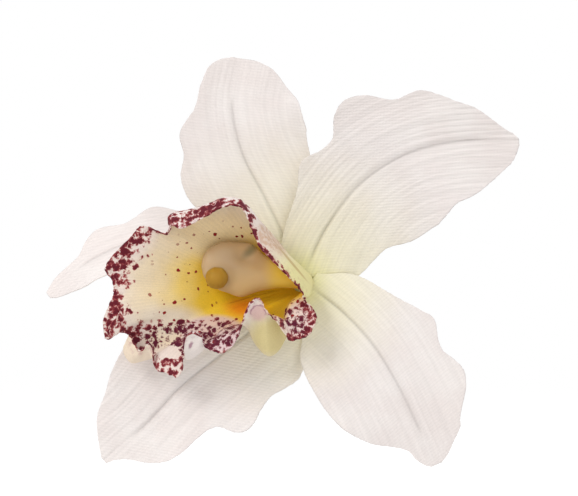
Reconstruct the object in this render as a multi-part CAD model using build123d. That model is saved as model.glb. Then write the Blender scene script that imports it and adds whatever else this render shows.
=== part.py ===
from build123d import *
import math
import os

# An artificial orchid bloom on a spring hair clip.
# The bloom faces -Y and its top is +Z. The origin is the middle of the clip's mouth,
# on the axis of the bloom. Heights named "front" are distances from there towards the
# viewer, so a front of 3 mm lies at y = -3.

# Fabric stock and the punched tabs that stack at the base of the bloom
fabric_thickness = 0.35
tab_thickness = 0.45
tab_radius = 3.0
petal_root = 2.5

# Clip steel, mouth and pivot
jaw_thickness = 0.6
mouth_gap = 5.0
jaw_width = 8.6
jaw_tip_width = 5.6
tip_below_origin = 21.0
pivot_above_origin = 12.0
lever_above_origin = 25.0
lever_spread = 9.6
ear_thickness = 0.6
ear_radius = 1.7
ear_gap = 0.1
upper_ear_radius = 2.0
closed_gap = 0.08
pin_radius = 0.7
pin_clearance = 0.04
pin_head_radius = 1.15
pin_head_thickness = 0.35
pin_head_gap = 0.04
tooth_depth = 0.7
tooth_pitch = 1.5
tooth_count = 5
rib_width = 1.6
rib_height = 0.35
lever_grip_count = 4
lever_grip_pitch = 1.5
lever_grip_radius = 0.28

# Torsion spring round the pin
spring_wire_radius = 0.32
spring_wire_sides = 6
spring_turn_radius = 1.45
spring_pitch = 1.12
spring_turns = 4
spring_leg_length = 8.5
spring_leg_gap = 0.25

# Felt, hot glue, calyx
clip_glue_thickness = 0.4
clip_glue_width = 5.6
clip_glue_length = 20.0
clip_glue_corner = 2.2
felt_thickness = 1.2
felt_radius = 11.5
flower_glue_thickness = 0.7
flower_glue_radius = 6.6
flower_glue_slope = 0.35
calyx_height = 4.0
calyx_foot_radius = 4.6
calyx_waist_radius = 2.8
calyx_cup_radius = 3.4
calyx_lip_thickness = 0.9

# Column and anther cap
peg_radius = 1.4
peg_clearance = 0.05
peg_into_calyx = 3.0
flange_radius = 2.1
flange_thickness = 0.6
column_reach = 24.2
column_rise = 8.0
column_lift_share = 0.21
column_width = 14.0
column_depth = 5.6
column_sides = 24
column_rings = 11
cap_radius = 2.75
cap_clearance = 0.05
cap_straight = 1.4
cap_sunk = 1.9
cap_station_share = 0.87
cap_drop_share = 1.2

# Wires behind the ribs
wire_radius = 0.4
wire_gap = 0.16
wire_bends = 4
wire_sides = 8

# Lip
lip_length = 48.0
lip_depth = 20.0
lip_ring_radius = 2.6

# One overrun serves all cuts
overrun = 1.0

# Stack of heights in front of the origin
upper_jaw_front = mouth_gap / 2
clip_glue_back = upper_jaw_front + jaw_thickness
felt_back = clip_glue_back + clip_glue_thickness
flower_glue_back = felt_back + felt_thickness
calyx_back = flower_glue_back + flower_glue_thickness
calyx_front = calyx_back + calyx_height
stack_order = (
    "left_petal",
    "upper_left_petal",
    "lower_left_petal",
    "upper_right_petal",
    "lower_right_petal",
    "lip",
)
column_back = calyx_front + tab_thickness * len(stack_order)

# Petals. Rib shares are (x, z) over the petal's length at even steps from the base.
# Edge shares are (station along the rib, left width, right width) over its full width,
# left being to the left of someone who walks from the base to the tip.
petals = {
    "upper_left_petal": {
        "length": 59.0,
        "width": 33.0,
        "lean_share": 0.03,
        "curl_share": 0.0,
        "cup_share": 0.01,
        "fold_share": 0.12,
        "twist_degrees": 0.0,
        "ripple_share": 0.053,
        "waves_share": 2.6,
        "wire_stations_share": (0.24, 0.80),
        "rib_shares": (
            (0, 0),
            (-0.07, 0.18),
            (-0.16, 0.36),
            (-0.25, 0.54),
            (-0.29, 0.74),
            (-0.26, 0.93),
        ),
        "edge_shares": (
            (0.00, 0.07, 0.07),
            (0.08, 0.13, 0.12),
            (0.15, 0.20, 0.16),
            (0.25, 0.30, 0.28),
            (0.35, 0.38, 0.37),
            (0.44, 0.445, 0.44),
            (0.52, 0.50, 0.48),
            (0.59, 0.49, 0.505),
            (0.65, 0.42, 0.51),
            (0.72, 0.41, 0.505),
            (0.79, 0.28, 0.495),
            (0.87, 0.24, 0.47),
            (0.93, 0.21, 0.37),
            (0.97, 0.16, 0.29),
            (1.00, 0.10, 0.22),
        ),
    },
    "upper_right_petal": {
        "length": 69.7,
        "width": 36.6,
        "lean_share": 0.30,
        "curl_share": 0.22,
        "cup_share": 0.08,
        "fold_share": 0.13,
        "twist_degrees": 0.0,
        "ripple_share": 0.059,
        "waves_share": 2.8,
        "wire_stations_share": (0.13, 0.86),
        "rib_shares": (
            (0, 0),
            (0.08, 0.18),
            (0.20, 0.34),
            (0.368, 0.449),
            (0.563, 0.494),
            (0.76, 0.495),
        ),
        "edge_shares": (
            (0.00, 0.09, 0.09),
            (0.04, 0.15, 0.20),
            (0.08, 0.21, 0.31),
            (0.13, 0.24, 0.36),
            (0.20, 0.265, 0.385),
            (0.27, 0.305, 0.415),
            (0.335, 0.39, 0.48),
            (0.39, 0.345, 0.51),
            (0.435, 0.335, 0.52),
            (0.47, 0.40, 0.525),
            (0.51, 0.47, 0.525),
            (0.56, 0.46, 0.52),
            (0.62, 0.36, 0.51),
            (0.69, 0.38, 0.475),
            (0.74, 0.33, 0.44),
            (0.79, 0.27, 0.39),
            (0.85, 0.21, 0.34),
            (0.90, 0.14, 0.26),
            (0.95, 0.07, 0.16),
            (1.00, 0.03, 0.05),
        ),
    },
    "lower_right_petal": {
        "length": 56.7,
        "width": 34.4,
        "lean_share": 0.24,
        "curl_share": 0.20,
        "cup_share": 0.05,
        "fold_share": 0.12,
        "twist_degrees": 0.0,
        "ripple_share": 0.053,
        "waves_share": 2.7,
        "wire_stations_share": (0.14, 0.84),
        "rib_shares": (
            (0, 0),
            (0.162, -0.118),
            (0.30, -0.262),
            (0.407, -0.432),
            (0.495, -0.612),
            (0.575, -0.79),
        ),
        "edge_shares": (
            (0.00, 0.09, 0.09),
            (0.07, 0.15, 0.15),
            (0.13, 0.23, 0.29),
            (0.20, 0.285, 0.43),
            (0.27, 0.315, 0.49),
            (0.34, 0.355, 0.52),
            (0.41, 0.415, 0.535),
            (0.46, 0.46, 0.54),
            (0.53, 0.41, 0.54),
            (0.58, 0.40, 0.53),
            (0.63, 0.44, 0.515),
            (0.68, 0.465, 0.49),
            (0.74, 0.43, 0.43),
            (0.80, 0.36, 0.34),
            (0.85, 0.30, 0.22),
            (0.89, 0.27, 0.14),
            (0.94, 0.18, 0.11),
            (0.98, 0.11, 0.07),
            (1.00, 0.05, 0.03),
        ),
    },
    "lower_left_petal": {
        "length": 65.5,
        "width": 36.0,
        "lean_share": 0.05,
        "curl_share": 0.02,
        "cup_share": 0.01,
        "fold_share": 0.12,
        "twist_degrees": 0.0,
        "ripple_share": 0.053,
        "waves_share": 2.7,
        "wire_stations_share": (0.16, 0.84),
        "rib_shares": (
            (0, 0),
            (-0.14, -0.14),
            (-0.30, -0.27),
            (-0.45, -0.39),
            (-0.59, -0.54),
            (-0.74, -0.67),
        ),
        "edge_shares": (
            (0.00, 0.08, 0.08),
            (0.06, 0.14, 0.10),
            (0.12, 0.24, 0.14),
            (0.18, 0.37, 0.19),
            (0.24, 0.455, 0.25),
            (0.30, 0.45, 0.31),
            (0.35, 0.435, 0.36),
            (0.41, 0.46, 0.42),
            (0.46, 0.505, 0.46),
            (0.51, 0.515, 0.51),
            (0.56, 0.47, 0.50),
            (0.60, 0.38, 0.49),
            (0.65, 0.34, 0.46),
            (0.71, 0.32, 0.43),
            (0.77, 0.31, 0.39),
            (0.83, 0.275, 0.34),
            (0.88, 0.20, 0.30),
            (0.92, 0.11, 0.25),
            (0.96, 0.05, 0.15),
            (1.00, 0.02, 0.03),
        ),
    },
    "left_petal": {
        "length": 68.2,
        "width": 21.4,
        "lean_share": -0.14,
        "curl_share": 0.0,
        "cup_share": 0.03,
        "fold_share": 0.10,
        "twist_degrees": 46.0,
        "ripple_share": 0.047,
        "waves_share": 2.4,
        "wire_stations_share": (0.20, 0.84),
        "rib_shares": (
            (0, 0),
            (-0.19, 0.07),
            (-0.38, 0.13),
            (-0.57, 0.15),
            (-0.76, 0.08),
            (-0.92, -0.05),
        ),
        "edge_shares": (
            (0.00, 0.12, 0.12),
            (0.08, 0.20, 0.20),
            (0.18, 0.34, 0.34),
            (0.30, 0.43, 0.44),
            (0.42, 0.45, 0.49),
            (0.50, 0.44, 0.51),
            (0.57, 0.42, 0.54),
            (0.62, 0.40, 0.40),
            (0.66, 0.38, 0.34),
            (0.74, 0.36, 0.41),
            (0.79, 0.34, 0.32),
            (0.83, 0.32, 0.18),
            (0.88, 0.30, 0.15),
            (0.94, 0.20, 0.14),
            (0.98, 0.12, 0.09),
            (1.00, 0.05, 0.05),
        ),
    },
}

# Where a petal leaves its flat base, how softly, and where it has its full twist, as
# shares of its length
twist_run_share = 0.34
flat_base_share = 0.05
bend_share = 0.08

# Where the ripples of the left and right edges start in their waves
left_phase_share = 0.08
right_phase_share = 0.35

# Rows of facets along a petal, and the facets of the lip: between two rays, and along one
petal_rows = 30
lip_facets_per_ray = 2
lip_reach_shares = (0, 0.2, 0.42, 0.65, 0.85, 1)

# Lip. Each ray runs from the ring at the base to the ruffled margin.
# Its shares are (ring angle in degrees), then (x, z) over the lip's length and
# height over its depth, for the middle of the ray and for its end on the margin.
lip_ray_shares = (
    (-20, (0.045, -0.04, 0.35), (0.01, -0.08, 0.65)),
    (20, (0.02, 0.035, 0.40), (-0.03, -0.015, 0.80)),
    (60, (-0.03, 0.10, 0.45), (-0.10, 0.06, 0.95)),
    (85, (-0.09, 0.16, 0.45), (-0.20, 0.16, 1.00)),
    (105, (-0.17, 0.26, 0.45), (-0.265, 0.305, 0.95)),
    (120, (-0.215, 0.27, 0.38), (-0.285, 0.39, 0.85)),
    (133, (-0.25, 0.25, 0.30), (-0.37, 0.42, 0.80)),
    (145, (-0.29, 0.22, 0.25), (-0.47, 0.38, 0.75)),
    (155, (-0.33, 0.19, 0.22), (-0.57, 0.36, 0.75)),
    (163, (-0.37, 0.155, 0.20), (-0.66, 0.32, 0.80)),
    (169, (-0.39, 0.125, 0.20), (-0.70, 0.25, 0.62)),
    (174, (-0.42, 0.08, 0.20), (-0.80, 0.28, 0.60)),
    (178, (-0.44, 0.05, 0.20), (-0.87, 0.21, 0.62)),
    (183, (-0.45, 0.02, 0.20), (-0.97, 0.11, 0.63)),
    (188, (-0.46, -0.02, 0.20), (-0.96, 0.00, 0.54)),
    (193, (-0.47, -0.06, 0.20), (-0.97, -0.10, 0.60)),
    (199, (-0.47, -0.10, 0.20), (-0.985, -0.27, 0.68)),
    (204, (-0.46, -0.13, 0.20), (-0.89, -0.27, 0.45)),
    (209, (-0.45, -0.15, 0.22), (-0.84, -0.38, 0.40)),
    (215, (-0.43, -0.17, 0.24), (-0.74, -0.40, 0.50)),
    (221, (-0.40, -0.18, 0.27), (-0.63, -0.46, 0.60)),
    (229, (-0.37, -0.19, 0.30), (-0.55, -0.33, 0.72)),
    (238, (-0.33, -0.19, 0.34), (-0.48, -0.32, 0.80)),
    (248, (-0.29, -0.19, 0.40), (-0.385, -0.345, 0.85)),
    (259, (-0.25, -0.18, 0.45), (-0.315, -0.26, 0.90)),
    (270, (-0.21, -0.19, 0.50), (-0.25, -0.10, 0.97)),
    (281, (-0.165, -0.215, 0.50), (-0.19, -0.10, 0.95)),
    (292, (-0.12, -0.235, 0.50), (-0.13, -0.19, 0.85)),
    (303, (-0.07, -0.225, 0.45), (-0.06, -0.28, 0.75)),
    (314, (-0.02, -0.185, 0.40), (0.01, -0.27, 0.70)),
    (325, (0.02, -0.125, 0.35), (0.07, -0.18, 0.65)),
    (333, (0.04, -0.08, 0.35), (0.03, -0.10, 0.65)),
)


def smooth_value(rows, station, column):
    """Value of one column of a table at a station, on a smooth curve through its rows."""
    last = len(rows) - 1
    low = 0
    while low < last - 1 and rows[low + 1][0] < station:
        low += 1
    slopes = []
    for i in (low, low + 1):
        before, after = max(i - 1, 0), min(i + 1, last)
        slopes.append((rows[after][column] - rows[before][column]) / (rows[after][0] - rows[before][0]))
    step = rows[low + 1][0] - rows[low][0]
    u = (station - rows[low][0]) / step
    near = (2 * u**3 - 3 * u**2 + 1) * rows[low][column] + (u**3 - 2 * u**2 + u) * step * slopes[0]
    far = (3 * u**2 - 2 * u**3) * rows[low + 1][column] + (u**3 - u**2) * step * slopes[1]
    return near + far


def tab_back(name):
    """Height of the back of a tab in the stack at the base of the bloom."""
    return calyx_front + tab_thickness * stack_order.index(name)


def mid_height(name):
    return tab_back(name) + tab_thickness / 2


def rib_point(petal, station):
    rows = [(i / (len(petal["rib_shares"]) - 1), *share) for i, share in enumerate(petal["rib_shares"])]
    x = petal["length"] * smooth_value(rows, station, 1)
    z = petal["length"] * smooth_value(rows, station, 2)
    return x, z


def rib_direction(petal, station):
    step_share = 0.01
    x0, z0 = rib_point(petal, max(station - step_share, 0))
    x1, z1 = rib_point(petal, min(station + step_share, 1))
    size = math.hypot(x1 - x0, z1 - z0)
    return (x1 - x0) / size, (z1 - z0) / size


def sheet_point(name, station, across):
    """Point on the middle of a petal's fabric. across runs from -1, right edge, to 1, left edge."""
    petal = petals[name]
    x, z = rib_point(petal, station)
    along_x, along_z = rib_direction(petal, station)
    half_width = petal["width"] * smooth_value(petal["edge_shares"], station, 1 if across > 0 else 2)
    away = max(station - flat_base_share, 0)
    run = away**2 / (away + bend_share)
    height = petal["length"] * (petal["lean_share"] * run - petal["curl_share"] * run**2)
    phase_share = left_phase_share if across > 0 else right_phase_share
    wave = math.sin(2 * math.pi * (petal["waves_share"] * station + phase_share))
    rise_share = petal["fold_share"] * abs(across) + petal["cup_share"] * across**2
    rise_share += petal["ripple_share"] * wave * abs(across) ** 3
    height += half_width * rise_share * run
    twisted = min(run / twist_run_share, 1)
    turn = math.radians(petal["twist_degrees"]) * twisted**2 * (3 - 2 * twisted)
    side = half_width * across
    height += side * math.sin(turn)
    side *= math.cos(turn)
    return Vector(x - along_z * side, -(mid_height(name) + height), z + along_x * side)


def offset_grid(grid, distance):
    """The same grid of points moved along its own normals, forward where distance is positive."""
    rows, columns = len(grid), len(grid[0])
    moved = []
    for i in range(rows):
        line = []
        for j in range(columns):
            along = grid[min(i + 1, rows - 1)][j] - grid[max(i - 1, 0)][j]
            across = grid[i][min(j + 1, columns - 1)] - grid[i][max(j - 1, 0)]
            line.append(grid[i][j] + along.cross(across).normalized() * distance)
        moved.append(line)
    return moved


def faceted_solid(quads, caps=()):
    """A closed solid from four-cornered cells, each in two flat facets, and flat end caps."""
    faces = [Face(Wire.make_polygon(cap)) for cap in caps]
    for one, two, three, four in quads:
        if (one - three).length < (two - four).length:
            halves = (one, two, three), (one, three, four)
        else:
            halves = (two, three, four), (two, four, one)
        faces += [Face(Wire.make_polygon(half)) for half in halves]
    return Solid(Shell(faces))


def grid_quads(grid):
    """The four corners of every cell of a grid of points."""
    quads = []
    for row, after in zip(grid, grid[1:]):
        for j in range(len(row) - 1):
            quads.append((row[j], after[j], after[j + 1], row[j + 1]))
    return quads


def sheet_solid(grid, thickness):
    """A sheet of even thickness about a grid of points on its middle."""
    rows, columns = len(grid), len(grid[0])
    front, back = offset_grid(grid, thickness / 2), offset_grid(grid, -thickness / 2)
    rim = [(0, j) for j in range(columns)] + [(i, columns - 1) for i in range(1, rows)]
    rim += [(rows - 1, j) for j in range(columns - 2, -1, -1)] + [(i, 0) for i in range(rows - 2, -1, -1)]
    edges = [[front[i][j] for i, j in rim], [back[i][j] for i, j in rim]]
    return faceted_solid(grid_quads(front) + grid_quads(back) + grid_quads(edges))


def disc(radius, thickness, back, x=0.0, z=0.0):
    """A flat disc about a line along Y, from a height towards the viewer."""
    place = Plane(origin=(x, -back, z), z_dir=(0, -1, 0))
    return extrude(place * Circle(radius), thickness)


def petal_grid(name):
    root_share = petal_root / petals[name]["length"]
    grid = []
    for i in range(petal_rows):
        station = root_share + (1 - root_share) * i / (petal_rows - 1)
        grid.append([sheet_point(name, station, across) for across in (-1, -0.5, 0, 0.5, 1)])
    return grid


def punched_tab(name):
    tab = disc(tab_radius, tab_thickness, tab_back(name))
    hole = disc(peg_radius + peg_clearance, tab_thickness + 2 * overrun, tab_back(name) - overrun)
    return tab, hole


def make_petal(name):
    """A cut and pressed petal with its punched tab."""
    tab, hole = punched_tab(name)
    return (sheet_solid(petal_grid(name), fabric_thickness) + tab) - hole


def make_wire(name):
    """Soft wire glued behind a petal's rib, from near the base to short of the tip."""
    first, last = petals[name]["wire_stations_share"]
    step_share = 0.02
    sections = []
    for i in range(wire_bends + 2):
        station = first + (last - first) * i / (wire_bends + 1)
        here = sheet_point(name, station, 0)
        along = sheet_point(name, station + step_share, 0) - sheet_point(name, station - step_share, 0)
        across = sheet_point(name, station, step_share) - sheet_point(name, station, -step_share)
        forward = along.cross(across).normalized()
        centre = here - forward * (fabric_thickness / 2 + wire_gap + wire_radius)
        place = Plane(origin=centre, x_dir=across, z_dir=along)
        sections.append(place * RegularPolygon(wire_radius, wire_sides))
    return loft(sections, ruled=True)


def lip_point(ray, reach):
    """Point on the middle of the lip's fabric, from the ring (reach 0) to the margin (reach 1)."""
    rows = [(i, angle, *middle, *margin) for i, (angle, middle, margin) in enumerate(lip_ray_shares)]
    angle, *shares = (smooth_value(rows, ray, column) for column in range(1, 8))
    turn = math.radians(angle)
    base = mid_height("lip")
    start = Vector(lip_ring_radius * math.cos(turn), -base, lip_ring_radius * math.sin(turn))
    ends = []
    for x_share, z_share, height_share in (shares[:3], shares[3:]):
        ends.append(Vector(lip_length * x_share, -(base + lip_depth * height_share), lip_length * z_share))
    through, end = ends
    pull = through * 2 - (start + end) / 2
    return start * (1 - reach) ** 2 + pull * (2 * reach * (1 - reach)) + end * reach**2


def make_lip():
    """Printed fabric cup: a fan of rays rolled round the column, with a ruffled margin."""
    grid = []
    for step in range(lip_facets_per_ray * (len(lip_ray_shares) - 1) + 1):
        ray = step / lip_facets_per_ray
        grid.append([lip_point(ray, reach) for reach in lip_reach_shares])
    tab, hole = punched_tab("lip")
    return (sheet_solid(grid, fabric_thickness) + tab) - hole


# Column: the bend of its middle line over its reach and rise, then its sections as
# station along that line, width and depth
column_bend_shares = (0.42, 0.62)
column_section_shares = (
    (0.00, 0.25, 0.62),
    (0.25, 0.46, 0.80),
    (0.50, 0.96, 0.98),
    (0.70, 0.90, 0.98),
    (0.86, 0.78, 0.86),
    (0.96, 0.48, 0.56),
    (1.00, 0.20, 0.26),
)


def column_axis():
    """Middle line of the column: forward out of the bloom, then over to the left."""
    root = column_back + flange_thickness
    bend_reach, bend_rise = column_bend_shares[0] * column_reach, column_bend_shares[1] * column_rise
    lift = column_lift_share * column_reach
    start = Vector(0, -root, 0)
    middle = Vector(-bend_reach, -(root + bend_rise), column_bend_shares[0] * lift)
    end = Vector(-column_reach, -(root + column_rise), lift)
    return Spline(start, middle, end, tangents=(Vector(0, -1, 0), end - middle))


def cap_place():
    """Middle of the cap's flat back, sunk into the front of the column near its end."""
    here = column_axis() @ cap_station_share
    front = here.Y - column_depth * smooth_value(column_section_shares, cap_station_share, 2) / 2
    return Vector(here.X, front + cap_sunk, here.Z - cap_drop_share * cap_radius)


def cap_solid(radius, straight):
    """A round plug with a domed front."""
    back = cap_place()
    plug = disc(radius, straight, -back.Y, back.X, back.Z)
    dome = Pos(back.X, back.Y - straight, back.Z) * Sphere(radius)
    front_half = Pos(back.X, back.Y - straight - radius, back.Z) * Box(4 * radius, 2 * radius, 4 * radius)
    return plug + (dome & front_half)


def column_ring(station):
    """Points round the column where it crosses a station of its middle line."""
    axis = column_axis()
    place = Plane(origin=axis @ station, x_dir=(0, 0, 1), z_dir=axis % station)
    half_width = column_width * smooth_value(column_section_shares, station, 1) / 2
    half_depth = column_depth * smooth_value(column_section_shares, station, 2) / 2
    ring = []
    for i in range(column_sides + 1):
        turn = 2 * math.pi * (i % column_sides) / column_sides
        local = Vector(half_width * math.cos(turn), half_depth * math.sin(turn), 0)
        ring.append(place.from_local_coords(local))
    return ring


def make_column():
    """Moulded column: a peg through the stack, a flange, and a hood that widens to its end."""
    rings = [column_ring(i / column_rings) for i in range(column_rings + 1)]
    hood = faceted_solid(grid_quads(rings), caps=(rings[0][:-1], rings[-1][:-1]))
    flange = disc(flange_radius, flange_thickness + overrun, column_back)
    peg_back = calyx_front - peg_into_calyx
    peg = disc(peg_radius, column_back + overrun / 2 - peg_back, peg_back)
    back = cap_place()
    socket = disc(cap_radius + cap_clearance, column_depth, -(back.Y + cap_clearance), back.X, back.Z)
    return (hood + flange + peg) - socket


def make_anther_cap():
    return cap_solid(cap_radius, cap_straight)


def make_calyx():
    """Turned socket that takes the peg: a foot on the glue, a waist and a cup under the petals."""
    waist = calyx_back + calyx_height / 2
    cup_back = calyx_front - calyx_lip_thickness
    floor = calyx_front - peg_into_calyx - peg_clearance
    bore = peg_radius + peg_clearance
    outline = Polyline(
        (bore, -calyx_front),
        (calyx_cup_radius, -calyx_front),
        (calyx_cup_radius, -cup_back),
        (calyx_waist_radius, -waist),
        (calyx_foot_radius, -calyx_back),
        (0, -calyx_back),
        (0, -floor),
        (bore, -floor),
        (bore, -calyx_front),
    )
    return revolve(make_face(outline), Axis.Y)


def make_flower_glue():
    """Pad of hot glue between the calyx and the felt, squeezed out to sloping edges."""
    pad = disc(flower_glue_radius, flower_glue_thickness, flower_glue_back)
    rim = pad.edges().filter_by(GeomType.CIRCLE).sort_by(Axis.Y)[0]
    return chamfer(rim, flower_glue_slope)


def make_felt():
    return disc(felt_radius, felt_thickness, felt_back)


def make_clip_glue():
    """Strip of hot glue between the felt and the fixed jaw."""
    place = Plane(origin=(0, -clip_glue_back, 0), x_dir=(1, 0, 0), z_dir=(0, -1, 0))
    shape = RectangleRounded(clip_glue_width, clip_glue_length, clip_glue_corner)
    return extrude(place * shape, clip_glue_thickness)


# Jaw strips: where the taper starts and ends between the tip and the pivot, and how round
# the tip and the thumb end are, as shares of their widths
jaw_taper_shares = (0.30, 0.62)
tip_round_share = 0.42
end_round_share = 0.36


def strip_outline(root_width, height):
    """Outline of a jaw seen from behind, from its tapered tip to its thumb end, as a tall prism."""
    tip = -tip_below_origin
    half_tip, half_root = jaw_tip_width / 2, root_width / 2
    taper_low, taper_high = [tip + share * (pivot_above_origin - tip) for share in jaw_taper_shares]
    right = [(half_tip, tip), (half_tip, taper_low), (half_root, taper_high), (half_root, lever_above_origin)]
    left = [(-x, z) for x, z in reversed(right)]
    face = make_face(Polyline(*right, *left, right[0]))
    face = fillet(face.vertices().group_by(Axis.Y)[0], tip_round_share * jaw_tip_width)
    face = fillet(face.vertices().group_by(Axis.Y)[-1], end_round_share * root_width)
    place = Plane(origin=(0, height, 0), x_dir=(1, 0, 0), z_dir=(0, -1, 0))
    return extrude(place * face, 2 * height)


def ear_pair(inner, radius, strip_height):
    """Two ears about the pivot, reaching from it to a strip at a height (y), with the pin's holes."""
    outer = inner + ear_thickness
    ears = None
    for side in (-1, 1):
        low = min(side * inner, side * outer)
        place = Plane(origin=(low, 0, pivot_above_origin), x_dir=(0, 1, 0), z_dir=(1, 0, 0))
        round_end = place * Circle(radius)
        web = place * Pos(strip_height / 2, 0) * Rectangle(abs(strip_height), 2 * radius)
        ear = extrude(round_end, ear_thickness) + extrude(web, ear_thickness)
        ears = ear if ears is None else ears + ear
    return ears


def pin_hole():
    place = Plane(origin=(-jaw_width, 0, pivot_above_origin), x_dir=(0, 1, 0), z_dir=(1, 0, 0))
    return extrude(place * Circle(pin_radius + pin_clearance), 2 * jaw_width)


def make_upper_jaw():
    """Fixed jaw: a flat tapered strip on the glue, with two folded ears."""
    slab = Box(2 * jaw_width, jaw_thickness, 2 * (tip_below_origin + lever_above_origin))
    strip = Pos(0, -(upper_jaw_front + jaw_thickness / 2), 0) * slab
    strip = strip & strip_outline(jaw_width, 2 * mouth_gap)
    ears = ear_pair(jaw_width / 2 - ear_thickness, upper_ear_radius, -(upper_jaw_front + jaw_thickness / 2))
    return (strip + ears) - pin_hole()


# Inner face of the moving jaw. Front shares: (distance from pivot over the span to the tip,
# y over the mouth's gap). Lever shares: (distance over the lever's length, y over its spread).
jaw_front_shares = (
    (0.985, -0.33),
    (0.90, -0.22),
    (0.79, 0.07),
    (0.67, 0.35),
    (0.52, 0.50),
    (0.36, 0.53),
    (0.20, 0.52),
    (0.07, 0.53),
)
jaw_lever_shares = ((0.0, 0.31), (0.23, 0.41), (0.60, 0.70), (1.0, 1.0))


def lower_jaw_line():
    """Points (z, y) along the inner face of the moving jaw, tip first."""
    span = pivot_above_origin + tip_below_origin
    lever = lever_above_origin - pivot_above_origin
    points = [(pivot_above_origin - span * a, mouth_gap * b) for a, b in jaw_front_shares]
    points += [(pivot_above_origin + lever * a, lever_spread * b) for a, b in jaw_lever_shares]
    return points


def moved_line(points, distance):
    """The same line moved to its outer side, away from the mouth."""
    moved = []
    for i, (z, y) in enumerate(points):
        z0, y0 = points[max(i - 1, 0)]
        z1, y1 = points[min(i + 1, len(points) - 1)]
        size = math.hypot(z1 - z0, y1 - y0)
        moved.append((z - distance * (y1 - y0) / size, y + distance * (z1 - z0) / size))
    return moved


def band(inner, outer, width):
    """A band between two lines (z, y), centred on x = 0."""
    place = Plane(origin=(-width / 2, 0, 0), x_dir=(0, 0, 1), z_dir=(1, 0, 0))
    inner = [(z, -y) for z, y in inner]
    outer = [(z, -y) for z, y in outer]
    outline = Spline(*inner) + Line(inner[-1], outer[-1])
    outline += Spline(*reversed(outer)) + Line(outer[0], inner[0])
    return extrude(place * make_face(outline), width)


def jaw_teeth(inner_line):
    """Two side flanges by the tip, each cut into a row of teeth that close on the fixed jaw."""
    tips_y = -mouth_gap / 2 + closed_gap
    start = -tip_below_origin + tooth_pitch / 2
    zigzag = []
    for i in range(tooth_count):
        zigzag.append((start + i * tooth_pitch, tips_y + tooth_depth))
        zigzag.append((start + (i + 0.5) * tooth_pitch, tips_y))
    end = start + tooth_count * tooth_pitch
    zigzag.append((end, tips_y + tooth_depth))
    top = [(z, y + jaw_thickness / 2) for z, y in reversed(inner_line) if start <= z <= end]
    corners = zigzag + [(end, top[0][1])] + top + [(start, top[-1][1])]
    outline = Polyline(*[(z, -y) for z, y in corners], close=True)
    flanges = None
    for side in (-1, 1):
        low = side * (jaw_tip_width / 2 - jaw_thickness / 2) - jaw_thickness / 2
        place = Plane(origin=(low, 0, 0), x_dir=(0, 0, 1), z_dir=(1, 0, 0))
        flange = extrude(place * make_face(outline), jaw_thickness)
        flanges = flange if flanges is None else flanges + flange
    return flanges


def make_lower_jaw():
    """Moving jaw: an arched strip with teeth at its tip, ears on the pin and a thumb lever."""
    root_width = jaw_width - 2 * (ear_thickness + ear_gap)
    inner = lower_jaw_line()
    outer = moved_line(inner, jaw_thickness)
    outline = strip_outline(root_width, 2 * lever_spread)
    jaw = band(inner, outer, jaw_width) & outline
    rib = band(moved_line(inner, jaw_thickness / 2), moved_line(inner, jaw_thickness + rib_height), rib_width)
    rib_span = Box(rib_width, 2 * lever_spread, tip_below_origin)
    jaw += rib & rib_span
    jaw += jaw_teeth(inner)
    ear_reach = lever_spread * jaw_lever_shares[0][1] + jaw_thickness / 4
    jaw += ear_pair(root_width / 2 - ear_thickness, ear_radius, ear_reach)
    z1, y1 = outer[-1]
    z0, y0 = outer[-2]
    size = math.hypot(z1 - z0, y1 - y0)
    for i in range(lever_grip_count):
        back = lever_grip_pitch * (i + 1)
        grip_z, grip_y = z1 - back * (z1 - z0) / size, y1 - back * (y1 - y0) / size
        ridge = Rot(0, 90, 0) * Cylinder(lever_grip_radius, root_width - 2 * jaw_thickness)
        jaw += Pos(0, grip_y, grip_z) * ridge
    return jaw - pin_hole()


def make_pin():
    """Pin through the four ears, with a peened head at each end."""
    place = Plane(origin=(0, 0, pivot_above_origin), x_dir=(0, 1, 0), z_dir=(1, 0, 0))
    half = jaw_width / 2 + pin_head_gap
    pin = extrude(place * Circle(pin_radius), half + pin_head_thickness / 2, both=True)
    for side in (-1, 1):
        low = half if side > 0 else -half - pin_head_thickness
        head_place = Plane(origin=(low, 0, pivot_above_origin), x_dir=(0, 1, 0), z_dir=(1, 0, 0))
        pin += extrude(head_place * Circle(pin_head_radius), pin_head_thickness)
    return pin


def biarc(start, start_way, end, end_way):
    """Two arcs that leave one point along its tangent and reach the next along its own."""
    gap = end - start
    ways = start_way + end_way
    blend = 2 * (1 - start_way.dot(end_way))
    reach = (math.sqrt(gap.dot(ways) ** 2 + blend * gap.dot(gap)) - gap.dot(ways)) / blend
    joint = (start + start_way * reach + end - end_way * reach) / 2
    first = Edge.make_tangent_arc(start, start_way, joint)
    return [first, Edge.make_tangent_arc(joint, first % 1, end)]


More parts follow.
